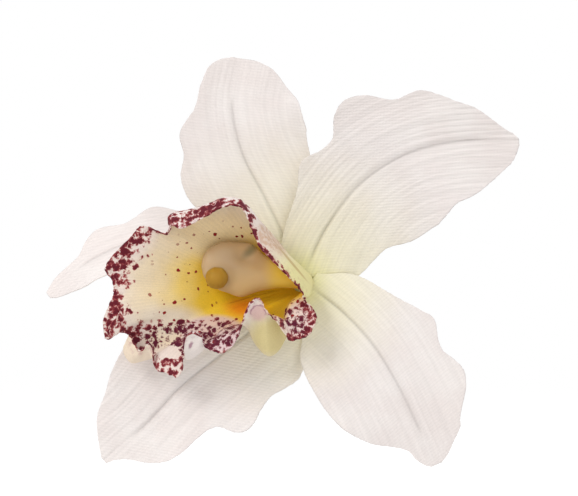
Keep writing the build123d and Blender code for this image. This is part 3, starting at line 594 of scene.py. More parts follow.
# Lip. A row for each ray: angle on the ring, then x and z in hundredths of the lip's length
# and height in hundredths of its depth, at half way, at the last fold and at the margin, then
# the width in mm of the printed band along the margin.
LIP_LENGTH = 48.0
LIP_DEPTH = 20.0
RING_RADIUS = 2.6
FOLD_REACH = 0.80
RAY_SPACING = 1.9
FAN_VEIN_SPACING = 0.62
lip_rays = (
    (-20, (4.5, -4, 35), (3.5, -6.5, 54), (1.2, -8.5, 66), 2.5),
    (0, (3.5, 0, 38), (2, -2, 60), (-0.5, -4.5, 73), 1.1),
    (20, (2, 3.5, 40), (0, 2, 66), (-3, -1.2, 80), 1.0),
    (40, (-0.5, 6.8, 43), (-3.5, 6, 72), (-6.7, 2.5, 88), 1.2),
    (60, (-3, 10, 45), (-7, 10.5, 77), (-10.7, 6.6, 95), 1.3),
    (85, (-9, 16, 45), (-15.5, 20, 82), (-20.4, 16.8, 100), 0.9),
    (97, (-13, 21.5, 45), (-20.5, 27.5, 80), (-24.5, 24.5, 98), 0.7),
    (105, (-17, 25.5, 44), (-24.7, 34.5, 78), (-27.5, 32.5, 95), 0.8),
    (112, (-19.5, 26.5, 42), (-28.5, 39.5, 74), (-30.5, 37.5, 92), 1.4),
    (120, (-21.5, 26.5, 38), (-32.5, 42, 72), (-33.5, 38.5, 90), 2.2),
    (133, (-25, 25, 30), (-38.5, 42.5, 68), (-39, 38.5, 88), 2.4),
    (145, (-29, 22, 25), (-46.5, 39.2, 66), (-46.5, 34.5, 86), 2.4),
    (155, (-33, 19, 22), (-56.5, 36.3, 66), (-55.5, 29.5, 90), 2.4),
    (161, (-36, 16.5, 20), (-63.5, 35, 66), (-61.5, 27, 90), 2.6),
    (165, (-38, 14.5, 20), (-66.2, 31.8, 66), (-65.5, 28.5, 80), 2.0),
    (169, (-39, 12.5, 20), (-62, 23, 52), (-69, 24.5, 63), 0.8),
    (172, (-41, 10, 20), (-66, 22.5, 50), (-74.5, 26.2, 60), 1.6),
    (174, (-42, 8, 20), (-70, 22, 50), (-81.2, 28.5, 60), 4.5),
    (178, (-44, 5, 20), (-76, 17.5, 50), (-87.5, 22, 62), 6.5),
    (183, (-45, 2, 20), (-84, 9, 50), (-97.5, 11.5, 63), 7.5),
    (186, (-45.5, 0, 20), (-85, 4.5, 48), (-99.5, 5.5, 60), 6.5),
    (188, (-46, -2, 20), (-84, 0, 45), (-96.2, 1, 54), 5.5),
    (191, (-46.5, -4, 20), (-84, -4.5, 46), (-95.5, -5.5, 56), 3.2),
    (193, (-47, -6, 20), (-85, -9, 50), (-97.5, -11.2, 61), 3.6),
    (196, (-47, -8, 20), (-86.5, -15, 52), (-100.5, -19.2, 66), 8.0),
    (199, (-47, -10, 20), (-85.5, -20, 48), (-99, -28.8, 62), 8.5),
    (202, (-46.5, -11.5, 20), (-83, -21.5, 42), (-93.2, -25.6, 50), 8.5),
    (204, (-46, -13, 20), (-82, -24, 38), (-88.5, -26.2, 46), 9.0),
    (207, (-45.5, -14, 21), (-88.5, -33.5, 36), (-86.5, -28, 56), 11.0),
    (209, (-45, -15, 22), (-84.8, -40.2, 34), (-82, -34.5, 56), 12.0),
    (212, (-44, -16, 23), (-76.5, -38.5, 36), (-76.5, -31.5, 58), 12.5),
    (215, (-43, -17, 24), (-72, -36, 42), (-74.5, -43.5, 46), 12.5),
    (218, (-41.5, -17.5, 25.5), (-66.5, -37, 46), (-68.5, -46.2, 50), 12.5),
    (221, (-40, -18, 27), (-60, -37, 52), (-62.8, -48, 58), 12.0),
    (224, (-39, -18.5, 28), (-58.5, -37.5, 58), (-60.2, -40.5, 66), 11.0),
    (226, (-38, -19, 29), (-57.5, -39, 60), (-59.5, -29, 84), 9.5),
    (229, (-37, -19, 30), (-54.5, -37.5, 62), (-56, -24.5, 92), 8.5),
    (233, (-35, -19, 32), (-51, -34.5, 66), (-51, -26.5, 92), 8.5),
    (238, (-33, -19, 34), (-45.5, -29, 70), (-49, -32.5, 80), 8.5),
    (243, (-31, -19, 37), (-40, -27, 74), (-44, -35, 82), 9.0),
    (248, (-29, -19, 40), (-36, -26, 76), (-39.2, -35.5, 84), 9.0),
    (254, (-27, -20, 42), (-32, -22.5, 80), (-33.7, -29.5, 88), 7.5),
    (259, (-25, -24.5, 42), (-29, -19, 82), (-30.5, -21.5, 91), 5.0),
    (265, (-23, -30, 42), (-26.2, -19, 80), (-28.5, -15, 95), 2.6),
    (270, (-20.5, -34, 42), (-23.5, -17, 80), (-25, -8.8, 98), 1.6),
    (276, (-18, -36.5, 42), (-20.5, -17.5, 80), (-21.5, -8, 99), 1.4),
    (281, (-15, -37, 42), (-18, -20, 78), (-18.8, -13, 95), 1.4),
    (287, (-12, -34, 42), (-14.5, -17.5, 76), (-15, -17.8, 90), 2.0),
    (292, (-10, -27.5, 42), (-11.5, -18, 70), (-11.2, -21.2, 84), 3.5),
    (298, (-8.5, -19, 44), (-8.2, -19.5, 65), (-6.6, -29, 74), 6.0),
    (305, (-6.5, -11.5, 48), (-5, -18, 61), (-1.8, -28.8, 66), 7.5),
    (313, (-4.2, -9.5, 46), (-2, -15.5, 59), (4, -26.2, 62), 7.5),
    (322, (-2, -7.5, 44), (0.8, -12.5, 57), (7.3, -18, 62), 6.5),
    (328, (0, -6.5, 42), (1.5, -10, 56), (4.5, -12.5, 64), 4.5),
    (333, (2, -5.5, 40), (1.8, -7.8, 54), (1, -9, 67), 3.0),
)
lip_rows = [
    (i, angle, *(value / 100 for place in places for value in place), band)
    for i, (angle, *places, band) in enumerate(lip_rays)
]
ANGLE_COLUMN, HALF_COLUMN, FOLD_COLUMN, MARGIN_COLUMN, BAND_COLUMN = 1, 2, 5, 8, 11


def lip_line(ray, reaches):
    """Points of the lip's fabric along one ray."""
    turn = radians(smooth_value(lip_rows, ray, ANGLE_COLUMN))
    base = mid_height("lip")
    rows = [(0, RING_RADIUS * cos(turn), -base, RING_RADIUS * sin(turn))]
    for reach, start in ((0.5, HALF_COLUMN), (FOLD_REACH, FOLD_COLUMN), (1, MARGIN_COLUMN)):
        x, z, height = (smooth_value(lip_rows, ray, start + i) for i in range(3))
        rows.append((reach, LIP_LENGTH * x, -(base + LIP_DEPTH * height), LIP_LENGTH * z))
    return [Vector([smooth_value(rows, reach, column) for column in (1, 2, 3)]) for reach in reaches]


# The flares of purple print along the lower margin and on the right lobe
FLARE_CENTER, FLARE_RADII, FLARE_TILT = (-26.5, -13.6), (15.5, 4.8), 4
LOBE_CENTER, LOBE_RADII = (-1.6, -9.4), (3.3, 3.8)
LIP_LOOK = {"Roughness": 0.8, "Sheen_Weight": 0.08, "Specular_IOR_Level": 0.2}


def printed_blotches(point, margin, band, flared):
    """Wine-red blotches that fill a band along the margin, in ragged cells with pale gaps: mask and colour."""
    distance, luck = point.drifted(0.9, 1.7).cells(0.66)
    wander = point.noise(0.22)
    share = margin / band.op("MAXIMUM", 0.1) + (wander * 1.1 - 0.55)
    ink = share.ranged(0.55, 1.15, 1.0, 0.0, smooth=False)
    if flared:
        flare = point.ellipse(FLARE_CENTER, FLARE_RADII, FLARE_TILT)
        flare = (wander - 0.5) * 0.5 + flare.op("MINIMUM", point.ellipse(LOBE_CENTER, LOBE_RADII))
        ink = ink.op("MAXIMUM", flare.ranged(0.86, 1.04, 0.76, 0.0))
        bare = point.drifted(0.6, 1.0).ellipse((-32.0, -16.5), (3.3, 1.7))
        ink = ink * bare.ranged(0.75, 1.15)
    level = ink * 0.50 + (luck[0] * 0.34 - 0.56)
    level = (point.noise(1.25, 2.5, 0.65) - 0.5) * 0.95 + level
    level = distance * -0.85 + 0.55 + level
    mask = level.ranged(-0.03, 0.21) * ink.ranged(0.02, 0.10)
    color = mix((0.42, 0.075, 0.075), (0.125, 0.008, 0.018), level.ranged(0.06, 0.40))
    if flared:
        color = mix(color, (0.085, 0.008, 0.030), flare.ranged(0.6, 1.1, 0.65, 0.0))
    return mask, color


def lip_front_material():
    """Printed cloth: cream, peach towards the throat, then yellow and orange about the column."""
    material, shader, point = new_material("lip_printed_cloth")
    fan = uv_parts(point.tree, "fan")[0]
    margin, band, _ = uv_parts(point.tree, "print")
    soft = point.noise(0.16, 3.0)
    far = (soft - 0.5) * 0.5 + point.ellipse((-11.5, -1.5), (14.0, 9.0))
    cloth = ramp(far / 3.0, [
        (0.20, (0.86, 0.55, 0.016)), (0.33, (0.85, 0.57, 0.05)), (0.45, (0.83, 0.62, 0.22)),
        (0.60, (0.83, 0.68, 0.45)), (0.85, (0.83, 0.72, 0.61)),
    ])
    # Painted light lifting the shade in the hollow above, then the low apron and the orange glow below the column
    cloth = patch(cloth, point, (-21.5, 11.5), (10.5, 6.0), (0.4, 1.3), 0.75, (0.95, 0.77, 0.46))
    cloth = patch(cloth, point, (-33.0, -9.5), (9.0, 4.0), (0.4, 1.3), 0.8, (0.85, 0.75, 0.62))
    cloth = patch(cloth, point, (-14.0, -6.3), (5.5, 2.6), (0.2, 1.3), 0.80, (0.95, 0.26, 0.006))
    # The pale margin, then mauve at the lower fold and pink on the right lobe
    share = margin / band.op("MAXIMUM", 0.1)
    cloth = mix(cloth, (0.82, 0.70, 0.64), share.ranged(0.5, 1.25, 0.85, 0.0))
    cloth = patch(cloth, point, (-21.5, -12.5), (8.5, 4.6), (0.8, 1.1), 0.8, (0.70, 0.52, 0.54))
    cloth = patch(cloth, point, (-0.4, -9.2), (4.0, 5.4), (0.75, 1.1), 0.9, (0.80, 0.64, 0.59))

    # Small dots sprinkled up the apron
    distance, chances = point.drifted(1.1, 0.9).cells(0.60)
    dot = (chances[1] * 0.31 - distance).ranged(-0.03, 0.04)
    dot = dot * (far.ranged(0.6, 0.8) * far.ranged(1.7, 2.0, 1.0, 0.0))
    cloth = mix(cloth, (0.27, 0.012, 0.012), dot)
    mask, wine = printed_blotches(point, margin, band, True)
    color = mix(cloth, wine, mask)

    # Fine veins that fan out from the throat, over the weave
    vein = (fan * (FULL_TURN / FAN_VEIN_SPACING)).op("SINE")
    height = point.noise(3.2, 3.0, 0.75) * 1.6 + vein * 0.10
    color = mix(color, height.ranged(0.3, 1.3, 0.90, 1.06), 1.0, "MULTIPLY")
    finish_shader(shader, color, height, 0.35, 0.08, **LIP_LOOK)
    return material


def lip_back_material():
    """Reverse of the printed cloth: white, greenish near the base, with print by the margin."""
    material, shader, point = new_material("lip_reverse_cloth")
    margin = uv_parts(point.tree, "print")[0]
    bleed, cream, _ = uv_parts(point.tree, "reverse")
    away = point.ellipse((0, 0), (1, 1))
    color = mix((0.78, 0.72, 0.36), (0.82, 0.735, 0.69), away.ranged(3.0, 14.0))
    color = mix(color, (0.86, 0.70, 0.52), cream * 0.8)
    soft = point.noise(0.8, 3.0, 0.6)
    through = margin.ranged(0.3, 3.5, 1.0, 0.0) * soft.ranged(0.50, 0.60)
    color = mix(color, (0.40, 0.09, 0.16), through * 0.35)
    # Olive below the notch, partly the greenish tint of the base and partly painted shade under the cup, and tan on
    # the strip at the upper right, partly print showing through and partly painted shade
    color = patch(color, point, (-7.5, -13.5), (8.5, 7.5), (0.35, 1.15), 0.85, (0.70, 0.58, 0.23))
    tan = point.ellipse((-7.5, 10.5), (6.0, 3.2), -48).ranged(0.4, 1.2, 1.0, 0.0)
    color = mix(color, (0.60, 0.40, 0.27), tan * soft.ranged(0.40, 0.60, 0.45, 1.0) * 0.95)
    # A brown line down the fold on the right, and a purple one inside the margin of the bump
    color = patch(color, point, (-2.4, 4.6), (6.2, 0.30), (0.5, 1.2), 0.65, (0.50, 0.33, 0.12), -50)
    loose = point.drifted(0.7, 1.2)
    ring = loose.ellipse((-10.0, -6.6), (1.8, 1.7))
    line = (ring - 1.0).op("ABSOLUTE").ranged(0.03, 0.20, 0.55, 0.0) * point.parts()[2].ranged(-8.2, -7.2)
    color = mix(color, (0.70, 0.45, 0.42), ring.ranged(0.6, 1.8, 0.8, 0.0))
    color = mix(color, (0.30, 0.07, 0.16), line)
    color = patch(color, loose, (-26.4, -14.6), (0.5, 1.0), (0.5, 1.4), 0.7, (0.26, 0.06, 0.14), -20)
    mask, wine = printed_blotches(point, margin, bleed, False)
    color = mix(color, wine, mask)
    grain = point.noise(3.0, 3.0, 0.7)
    color = mix(color, grain.ranged(0.3, 0.7, 0.95, 1.03), 1.0, "MULTIPLY")
    finish_shader(shader, color, grain, 0.3, 0.08, **LIP_LOOK)
    return material


# Where the print wraps over the margin to the reverse: ray angle, width in mm, and how
# cream the reverse is there
REVERSE_PRINT = (
    (-20, 0.5, 0.0), (20, 1.1, 0.0), (60, 1.5, 0.0), (85, 1.3, 0.0), (95, 1.6, 0.0), (105, 3.6, 0.0),
    (120, 4.6, 0.0), (140, 6.0, 0.0), (155, 8.5, 0.0), (166, 7.0, 0.0), (170, 1.0, 0.0), (186, 0.3, 0.4),
    (204, 0.3, 1.0), (212, 0.4, 0.9), (222, 0.4, 0.3), (229, 0.9, 0.0), (238, 0.8, 0.0), (262, 0.5, 0.0),
    (275, 0.7, 0.0), (292, 0.6, 0.0), (333, 0.5, 0.0),
)

# Points at the end of each ray that follow the ragged cut of the margin, and how far it strays
CUT_POINTS = 6
CUT_LONG, CUT_SHORT = 0.30, 0.18
FAN_VEIN, LIP_SWELL, MARGIN_RUFFLE = 0.008, 0.22, 0.34


def make_lip():
    columns, rows = ((520, 72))
    reaches = [j / (rows - 1) for j in range(rows)]
    grid, fan, printed, reverse = [], [], [], []
    for i in range(columns):
        ray = (len(lip_rays) - 1) * i / (columns - 1)
        line = lip_line(ray, reaches)
        angle, band = (smooth_value(lip_rows, ray, column) for column in (ANGLE_COLUMN, BAND_COLUMN))
        bleed, cream = (max(smooth_value(REVERSE_PRINT, angle, column), 0) for column in (1, 2))
        cut = CUT_LONG * uneven(ray * 2.6, 4, 0) + CUT_SHORT * uneven(ray * 7.5, 9, 0)
        way = (line[-1] - line[-CUT_POINTS]).normalized()
        for k in range(CUT_POINTS):
            line[-k - 1] = line[-k - 1] + way * cut * (1 - k / CUT_POINTS)
        lengths = [0.0]
        for a, b in zip(line, line[1:]):
            lengths.append(lengths[-1] + (b - a).length)
        grid.append(line)
        fan.append([(ray * RAY_SPACING * MM, run * MM) for run in lengths])
        printed.append([((lengths[-1] - run) * MM, band * MM) for run in lengths])
        reverse.append([(bleed * MM, min(cream, 1) * MM)] * rows)
    ruffled = []
    for line, ways, places in zip(grid, grid_normals(grid), fan):
        row = []
        for here, way, reach, at in zip(line, ways, reaches, places):
            fade = smooth_step(reach, 0.25, 0.8)
            offset = FAN_VEIN * fade * sin(FULL_TURN * (at[0] / MM) / FAN_VEIN_SPACING)
            offset += LIP_SWELL * fade * noise.noise(here * 0.35 + Vector((0, 0, 40)))
            ruffle = noise.noise(here * 0.85 + Vector((7, 0, 0)))
            offset += MARGIN_RUFFLE * smooth_step(reach, 0.72, 1.0) * ruffle
            row.append(here + way * offset)
        ruffled.append(row)
    front, back = lip_front_material(), lip_back_material()
    layers = {"fan": fan, "print": printed, "reverse": reverse}
    piece = sheet_piece("lip_sheet", ruffled, [back, front, front], layers)
    place(piece, "bloom", "printed_lip_fabric", "lip")
    grid_area(ruffled)


make_lip()

# Column: the same line and sections as the solid, smooth, with the hood's notch and ridge
COLUMN_REACH, COLUMN_RISE, COLUMN_LIFT = 24.2, 8.0, 0.21
COLUMN_WIDTH, COLUMN_DEPTH = 14.0, 5.6
COLUMN_BACK = CALYX_FRONT + TAB * len(STACK)
COLUMN_BEND = (0.42, 0.62)
column_sections = (
    (0.00, 0.25, 0.62), (0.25, 0.34, 0.72), (0.42, 0.62, 0.90), (0.56, 0.94, 0.98), (0.70, 0.90, 0.98),
    (0.86, 0.78, 0.86), (0.96, 0.50, 0.58), (1.00, 0.20, 0.26),
)
COLUMN_KEEL, COLUMN_NOTCH, COLUMN_WAVE = 0.28, 0.75, 0.16
CAP_RADIUS = 2.75


def column_line(station):
    """Point on the column's middle line and the way it runs there."""
    root = COLUMN_BACK + 0.6
    lift = COLUMN_LIFT * COLUMN_REACH
    start = Vector((0, -root, 0))
    reach, rise = COLUMN_BEND[0], COLUMN_BEND[1] * COLUMN_RISE
    middle = Vector((-reach * COLUMN_REACH, -(root + rise), reach * lift))
    end = Vector((-COLUMN_REACH, -(root + COLUMN_RISE), lift))
    first, second = (middle - start).length, (end - middle).length
    leaving, arriving = Vector((0, -1, 0)), (end - middle).normalized()
    passing = ((middle - start) * (second / first) + (end - middle) * (first / second)) * 3
    passing = (passing - leaving * second - arriving * first) / (2 * (first + second))
    run = station * (first + second)
    if run < first:
        a, b, m, n, size, u = start, middle, leaving, passing, first, run / first
    else:
        a, b, m, n, size, u = middle, end, passing, arriving, second, (run - first) / second
    weights = curve_weights(u)
    point = a * weights[0] + m * size * weights[2] + b * weights[1] + n * size * weights[3]
    way = a * (6 * u**2 - 6 * u) + m * size * (3 * u**2 - 4 * u + 1)
    way += b * (6 * u - 6 * u**2) + n * size * (3 * u**2 - 2 * u)
    return point, way.normalized()


def column_material():
    material, shader, point = new_material("column_soft_plastic")
    x, _, z = point.parts()
    soft = point.noise(0.18)
    up = x * -0.35 + (soft * 3.0 + z)
    # Darker towards the top and upper left: painted shade under the lip.
    color = ramp(up.ranged(-3.0, 11.0, smooth=False), [
        (0.0, (0.70, 0.43, 0.13)), (0.35, (0.71, 0.475, 0.19)),
        (0.7, (0.66, 0.455, 0.21)), (1.0, (0.53, 0.36, 0.19)),
    ])
    # Painted shade about the cap, dark olive painted shade in the notch, the yellow base and the greyer hood
    color = patch(color, point, (-19.2, 1.6), (3.4, 3.6), (0.5, 1.2), 0.55, (0.42, 0.26, 0.10))
    color = patch(color, point, (-12.4, 7.9), (3.4, 1.3), (0.1, 1.3), 0.85, (0.21, 0.18, 0.09), 42)
    color = mix(color, (0.84, 0.60, 0.07), (soft * 1.5 + x).ranged(-9.5, -4.5) * 0.92)
    color = patch(color, point, (-18.0, 6.0), (3.6, 2.6), (0.2, 1.4), 0.35, (0.44, 0.33, 0.22))
    shader.subsurface_method = "RANDOM_WALK"
    shader.inputs["Subsurface Radius"].default_value = (1.0, 0.6, 0.35)
    finish_shader(shader, color, point.noise(1.1, 3.0), 0.12, 0.2,
                  Roughness=0.48, Subsurface_Weight=0.25, Subsurface_Scale=0.0012)
    return material


def make_column():
    rings = []
    for i in range(61):
        station = i / 60
        station = 0.5 * (station + station * station * (3 - 2 * station))
        point, way = column_line(station)
        up = Vector((0, 0, 1))
        over = (up - way * up.dot(way)).normalized()
        side = way.cross(over)
        half_width = COLUMN_WIDTH * smooth_value(column_sections, station, 1) / 2
        half_depth = COLUMN_DEPTH * smooth_value(column_sections, station, 2) / 2

        def skin(turn):
            """The section's edge: the hood folds over in a shallow notch, with a low keel in front."""
            here = point + over * half_width * cos(turn) + side * half_depth * sin(turn)
            notch = exp(-((here.x + 13.6) / 2.2) ** 2 - ((here.z - 6.6) / 1.6) ** 2)
            keel = exp(-((here.z - 3.2 - (here.x + 14) * -0.25) / 1.7) ** 2) * smooth_step(station, 0.3, 0.6)
            rise = COLUMN_KEEL * keel - COLUMN_NOTCH * notch + COLUMN_WAVE * noise.noise(here * 0.25)
            return here + (here - point).normalized() * rise

        rings.append(around(72, skin))
    place(ring_piece("column_hood", rings, column_material()), "bloom", "column_plastic", "column")


def cap_material():
    material, shader, point = new_material("cap_ochre_plastic")
    color = mix((0.39, 0.195, 0.010), (0.44, 0.235, 0.022), point.noise(0.5))
    rim = point.ellipse((-21.2, 1.2), (CAP_RADIUS, CAP_RADIUS))
    color = mix(color, (0.45, 0.28, 0.05), rim.ranged(0.6, 1.05, 0.0, 0.5))
    shader.inputs["Subsurface Radius"].default_value = (1.0, 0.5, 0.2)
    finish_shader(shader, color, point.noise(1.6, 3.0), 0.15, 0.1, Roughness=0.6,
                  Subsurface_Weight=0.2, Subsurface_Scale=0.001, Specular_IOR_Level=0.3)
    return material


def make_cap():
    """Anther cap: a blunt, slightly uneven ball."""
    low, high = (Vector(corner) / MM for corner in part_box("anther_cap"))
    middle = (low + high) / 2
    rings = []
    for i in range(41):
        rise = pi * i / 40 - pi / 2
        radius = CAP_RADIUS * max(cos(rise), 0.004)
        front = low.y + CAP_RADIUS * (1 - sin(rise))

        def skin(turn):
            x, z = radius * cos(turn), radius * sin(turn)
            swell = 1 + 0.05 * noise.noise(Vector((x, rise * 2, z)) * 0.8)
            return Vector((middle.x + x * swell, min(front, high.y), middle.z + z * swell))

        rings.append(around(64, skin))
    place(ring_piece("anther_cap_ball", rings, cap_material()), "bloom", "ochre_plastic", "anther_cap")


make_column()
make_cap()


# Behind the petals: wires with their glue, calyx, glue pads, felt and the clip
def steel_material(name, color, roughness, grain_scale):
    """Steel with a drawn grain along Z and a soft cloud of wear."""
    material, shader, point = new_material(name)
    drawn = object_point(point.tree, scale=(9000, 9000, 260)).noise(grain_scale, 3.0, 0.6)
    cloud = point.noise(0.35, 3.0)
    finish_shader(shader, mix(color, tuple(c * 0.86 for c in color), cloud), drawn, 0.10, 0.02, Metallic=1.0,
                  Roughness=cloud * 0.16 + (drawn * 0.10 + (roughness - 0.1)))
    return material


def clouded_material(name, colors, cloud_scale, grain, relief, **values):
    """Plain stuff in two tones, with a fine relief. grain is the scale and detail of its noise."""
    material, shader, point = new_material(name)
    color = mix(*colors, point.noise(cloud_scale, 3.0))
    finish_shader(shader, color, point.noise(*grain), *relief, **values)
    return material


def felt_material():
    material, shader, point = new_material("felt_pressed")
    fibre = point.drifted(0.5, 2.5).noise(1.6, 5.0, 0.75)
    color = mix((0.84, 0.82, 0.77), (0.77, 0.75, 0.69), point.noise(0.25))
    color = mix(color, fibre.ranged(0.3, 0.7, 0.86, 1.06), 1.0, "MULTIPLY")
    finish_shader(shader, color, fibre, 0.8, 0.22, Roughness=0.95, Sheen_Weight=0.35,
                  Sheen_Roughness=0.6, Specular_IOR_Level=0.1)
    return material


def calyx_material():
    material, shader, point = new_material("calyx_moulded")
    color = mix((0.42, 0.52, 0.20), (0.52, 0.60, 0.30), point.noise(0.3, 3.0))
    color = mix(color, (0.66, 0.70, 0.42), point.parts()[1].ranged(-9.4, -7.4, 0.6, 0.0))
    finish_shader(shader, color, point.noise(1.5, 3.0), 0.2, 0.08, Roughness=0.5)
    return material


wire_coating = clouded_material("wire_coating", ((0.68, 0.71, 0.56), (0.77, 0.78, 0.68)), 0.4, (2.2, 2.0),
                                (0.25, 0.06), Roughness=0.5)
hot_glue = clouded_material("glue_set_milky", ((0.80, 0.79, 0.70), (0.70, 0.68, 0.56)), 0.6, (0.5, 4.0),
                            (0.3, 0.25), Roughness=0.25, IOR=1.48, Coat_Weight=0.3)

WIRE_RADIUS = 0.40
WIRE_POINTS = 70
# Points across the petal where the glue is laid: the rib in the middle, and the reach of the bead
GLUE_COLUMNS, RIB_COLUMN, BEAD_REACH, WAY_REACH = 401, 200, 60, 30


def make_wire(petal_name):
    """Coated wire behind a petal's crease, lying in a low bead of glue."""
    first, last = petals[petal_name]["wire"]
    seed = STACK.index(petal_name)
    points, ways, glue_rings = [], [], []
    for i in range(WIRE_POINTS):
        station = first + (last - first) * i / (WIRE_POINTS - 1)
        row = petal_row(petal_name, station, GLUE_COLUMNS)
        middle = row[RIB_COLUMN]
        along = (petal_row(petal_name, station + 0.01, 3)[1] - middle).normalized()
        across = (row[RIB_COLUMN + WAY_REACH] - row[RIB_COLUMN - WAY_REACH]).normalized()
        forward = along.cross(across).normalized()
        points.append(middle - forward * (FABRIC / 2 + WIRE_RADIUS * 0.95))
        ways.append(along)
        ends = sin(pi * min((i + 0.7) / WIRE_POINTS, 1)) ** 0.25
        width = (1.05 + 0.28 * uneven(station * 30, 2, seed)) * ends
        depth = (0.36 + 0.10 * uneven(station * 22, 8, seed)) * ends
        cloth = row[RIB_COLUMN - BEAD_REACH:RIB_COLUMN + BEAD_REACH + 1]

        def skin(turn):
            at = middle + across * width * cos(turn)
            nearest = min(cloth, key=lambda p: (p - at).length_squared)
            behind = (nearest - middle).dot(forward) - (FABRIC / 2 - 0.03)
            crown = min(behind, -(FABRIC / 2 + depth))
            return at + forward * (behind + (crown - behind) * max(sin(turn), 0))

        glue_rings.append(around(28, skin))
    node = petal_name.replace("petal", "wire")
    tube = ring_piece(node + "_tube", tube_rings(points, ways, WIRE_RADIUS, 16), wire_coating)
    place(tube, "bloom", "wrapped_wire", node)
    place(ring_piece(node + "_glue", glue_rings, hot_glue), "bloom", "hot_glue")


for petal_name in petals:
    make_wire(petal_name)


def calyx_wobble(here, turn, radius):
    lobes = 1 + 0.025 * cos(5 * turn) * smooth_step(radius, 2.7, 4.4)
    return Vector((here.x * lobes, here.y, here.z * lobes))


calyx_profile = [
    (AXIS_RADIUS, -5.4), (2.2, -5.4), (4.2, -5.4), (4.45, -5.5), (4.52, -5.7), (4.3, -5.95),
    (3.7, -6.35), (3.2, -6.75), (2.9, -7.15), (2.8, -7.5), (2.85, -7.85), (3.05, -8.2),
    (3.3, -8.5), (3.38, -8.7), (3.4, -9.0), (3.36, -9.25), (3.2, -9.38), (1.6, -9.4), (AXIS_RADIUS, -9.4),
]
calyx = lathe_piece("calyx_turned", calyx_profile, calyx_material(), calyx_wobble)
place(calyx, "bloom", "calyx_plastic", "calyx")


def glue_wobble(here, turn, radius):
    swell = 1 - 0.05 + 0.05 * uneven(cos(turn) * 1.6, sin(turn) * 1.6, 3) * radius / 6
    return Vector((here.x * swell, here.y, here.z * swell))


PAD_RADIUS, PAD_BACK, PAD_FRONT = 6.6, 4.7, 5.38
pad_profile = rounded_profile(PAD_RADIUS, PAD_BACK, PAD_FRONT, 0.3)
flower_glue = lathe_piece("flower_glue_pad", pad_profile, hot_glue, glue_wobble)
place(flower_glue, "bloom", "hot_glue", "flower_glue")

FELT_RADIUS, FELT_BACK, FELT_FRONT = 11.5, 3.52, 4.68


def felt_wobble(here, turn, radius):
    cut = 0.14 * uneven(cos(turn) * 3, sin(turn) * 3, 7)
    fuzz = 0.07 * noise.noise(here * 2.6)
    scale = 1 + (cut + fuzz - 0.1) / FELT_RADIUS * (radius / FELT_RADIUS)
    return Vector((here.x * scale, here.y + 0.05 * noise.noise(here * 1.3) * (radius > 7), here.z * scale))


felt = lathe_piece("felt_disc", rounded_profile(FELT_RADIUS, FELT_BACK, FELT_FRONT, 0.22), felt_material(),
                   felt_wobble, 260)
place(felt, "bloom", "felt", "felt_pad")

GLUE_HALF_WIDTH, GLUE_HALF_LENGTH, GLUE_BACK, GLUE_DEPTH = 2.8, 10.0, 3.12, 0.37


def make_clip_glue():
    """Strip of glue squeezed out between the felt and the fixed jaw."""
    rings = []
    for k in range(9):
        depth = k / 8
        grow = 1 - 0.10 * (2 * depth - 1) ** 2

        def skin(turn):
            x, z = (half * grow * copysign(abs(part) ** 0.5, part)
                    for half, part in ((GLUE_HALF_WIDTH, cos(turn)), (GLUE_HALF_LENGTH, sin(turn))))
            swell = 1 + 0.07 * uneven(x * 0.6, z * 0.35, 5)
            return Vector((x * swell, -(GLUE_BACK + GLUE_DEPTH * depth), z * min(swell, 1.0)))

        rings.append(around(96, skin))
    place(ring_piece("clip_glue_strip", rings, hot_glue), "bloom", "hot_glue", "clip_glue")


make_clip_glue()

# Spring: where the pin is, the radius of its turns and wire, the length of each leg, and
# the angle at which the turns start, how far they go round and how long they are in X
PIVOT, SPRING_RADIUS, SPRING_WIRE, SPRING_LEG = 12.0, 1.45, 0.32, 8.5
SPRING_START, SPRING_SWEEP, SPRING_LENGTH = -1.627, -21.419, 3.818
# Where the fixed turns end, and where the moving leg's own bend starts inside the last of them
TURNS_END, BEND_START = SPRING_SWEEP + 0.52, SPRING_SWEEP + 1.05
LEG_STEPS = 12


def make_spring():
    """Torsion spring round the pin: its turns and one leg stay, and the other leg goes with the lower jaw."""
    rise = SPRING_LENGTH / abs(SPRING_SWEEP)
    steel = steel_material("steel_spring_wire", (0.36, 0.35, 0.335), 0.32, 1.4)
    turns = ("clip_spring_wire", "bloom", 0.0, TURNS_END, 210, SPRING_WIRE)
    moving = ("clip_spring_moving_leg", "lower_jaw", BEND_START, SPRING_SWEEP, 16, SPRING_WIRE - 0.01)
    for name, body, start, stop, count, radius in (turns, moving):
        points, ways = [], []
        for i in range(count + 1):
            run = start + (stop - start) * i / count
            y, z = SPRING_RADIUS * sin(SPRING_START + run), SPRING_RADIUS * cos(SPRING_START + run)
            points.append(Vector((SPRING_LENGTH * (run / SPRING_SWEEP - 0.5), y, PIVOT + z)))
            ways.append(Vector((rise, -z, y)).normalized())
        for _ in range(LEG_STEPS):
            if body == "bloom":
                points.insert(0, points[0] - ways[0] * SPRING_LEG / LEG_STEPS)
                ways.insert(0, ways[0])
            else:
                points.append(points[-1] + ways[-1] * SPRING_LEG / LEG_STEPS)
                ways.append(ways[-1])
        piece = ring_piece(name, tube_rings(points, ways, radius, 14), steel)
        place(piece, body, "spring_steel", "clip_spring" if body == "bloom" else None)


make_spring()
nickel = steel_material("steel_nickel_plate", (0.47, 0.46, 0.44), 0.27, 1.0)
pin_steel = steel_material("steel_pin", (0.40, 0.39, 0.375), 0.34, 1.2)
for node, material in (("clip_upper_jaw", nickel), ("clip_lower_jaw", nickel), ("clip_pin", pin_steel)):
    nodes[node].data.materials.clear()
    nodes[node].data.materials.append(material)


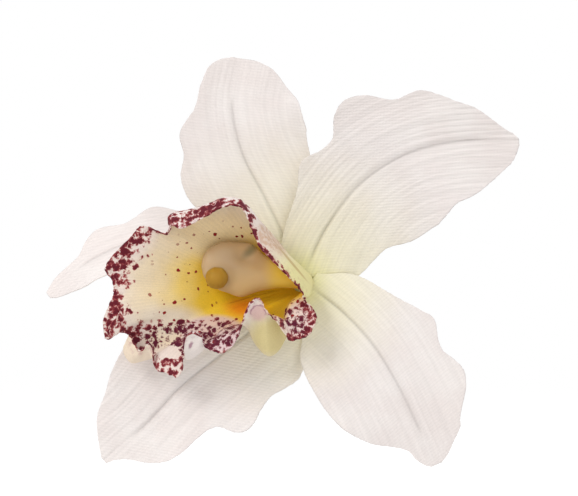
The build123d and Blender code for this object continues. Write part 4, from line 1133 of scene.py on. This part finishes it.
# World and floor: white to the camera, plain pale light for the rest
def seen_directly(tree):
    """1 for what the camera sees, also in a mirror or through glass, and 0 for light on the part."""
    path = add_node(tree, "LightPath")
    camera_ray, glossy, through = (Value(tree, path.outputs[name]) for name in (
        "Is Camera Ray", "Is Glossy Ray", "Is Transmission Ray"))
    return camera_ray.op("MAXIMUM", glossy.op("MAXIMUM", through))


WORLD_LIGHT = 0.71
world = bpy.data.worlds.new("world")
bpy.context.scene.world = world
tree, surface = blank_tree(world, "OutputWorld")
strength = seen_directly(tree).ranged(0, 1, WORLD_LIGHT, 1.0, smooth=False)
tree.links.new(add_node(tree, "Background", Color=(1, 1, 1), Strength=strength).outputs[0], surface)


def area_light(name, spot, target, size, power, color=(1, 1, 1)):
    data = bpy.data.lights.new(name, "AREA")
    data.shape = "DISK"
    data.size = size
    data.energy = power
    data.color = color
    light = bpy.data.objects.new(name, data)
    light.location = spot
    light.rotation_euler = (Vector(target) - Vector(spot)).to_track_quat("-Z", "Y").to_euler()
    bpy.context.scene.collection.objects.link(light)


area_light("key", (-0.80, -1.15, 0.78), (0, 0, 0), 0.60, 8.1, (1.0, 0.985, 0.97))
area_light("fill", (0.62, -0.75, 0.95), (0, 0, 0.02), 0.8, 2.6, (1.0, 0.99, 0.97))
area_light("back", (0.2, 0.9, 0.7), (0, 0, 0), 0.8, 3.0)

FLOOR, FLOOR_HALF = -78, 3000
floor_material = bpy.data.materials.new("floor_paper")
tree, surface = blank_tree(floor_material, "OutputMaterial")
paper = add_node(tree, "AddShader")
tree.links.new(add_node(tree, "BsdfDiffuse", Color=(0.82, 0.82, 0.82)).outputs[0], paper.inputs[0])
tree.links.new(add_node(tree, "Emission", Strength=seen_directly(tree) * 0.5).outputs[0], paper.inputs[1])
# The floor melts into the white behind before its edge
fading = add_node(tree, "MixShader", Fac=object_point(tree).parts()[1].ranged(300.0, 1800.0))
tree.links.new(paper.outputs[0], fading.inputs[1])
tree.links.new(add_node(tree, "BsdfTransparent").outputs[0], fading.inputs[2])
tree.links.new(fading.outputs[0], surface)
corners = [(x * FLOOR_HALF, y * FLOOR_HALF, FLOOR) for x, y in ((-1, -1), (1, -1), (1, 1), (-1, 1))]
floor = new_piece("floor", corners, [(0, 1, 2, 3)], [floor_material])
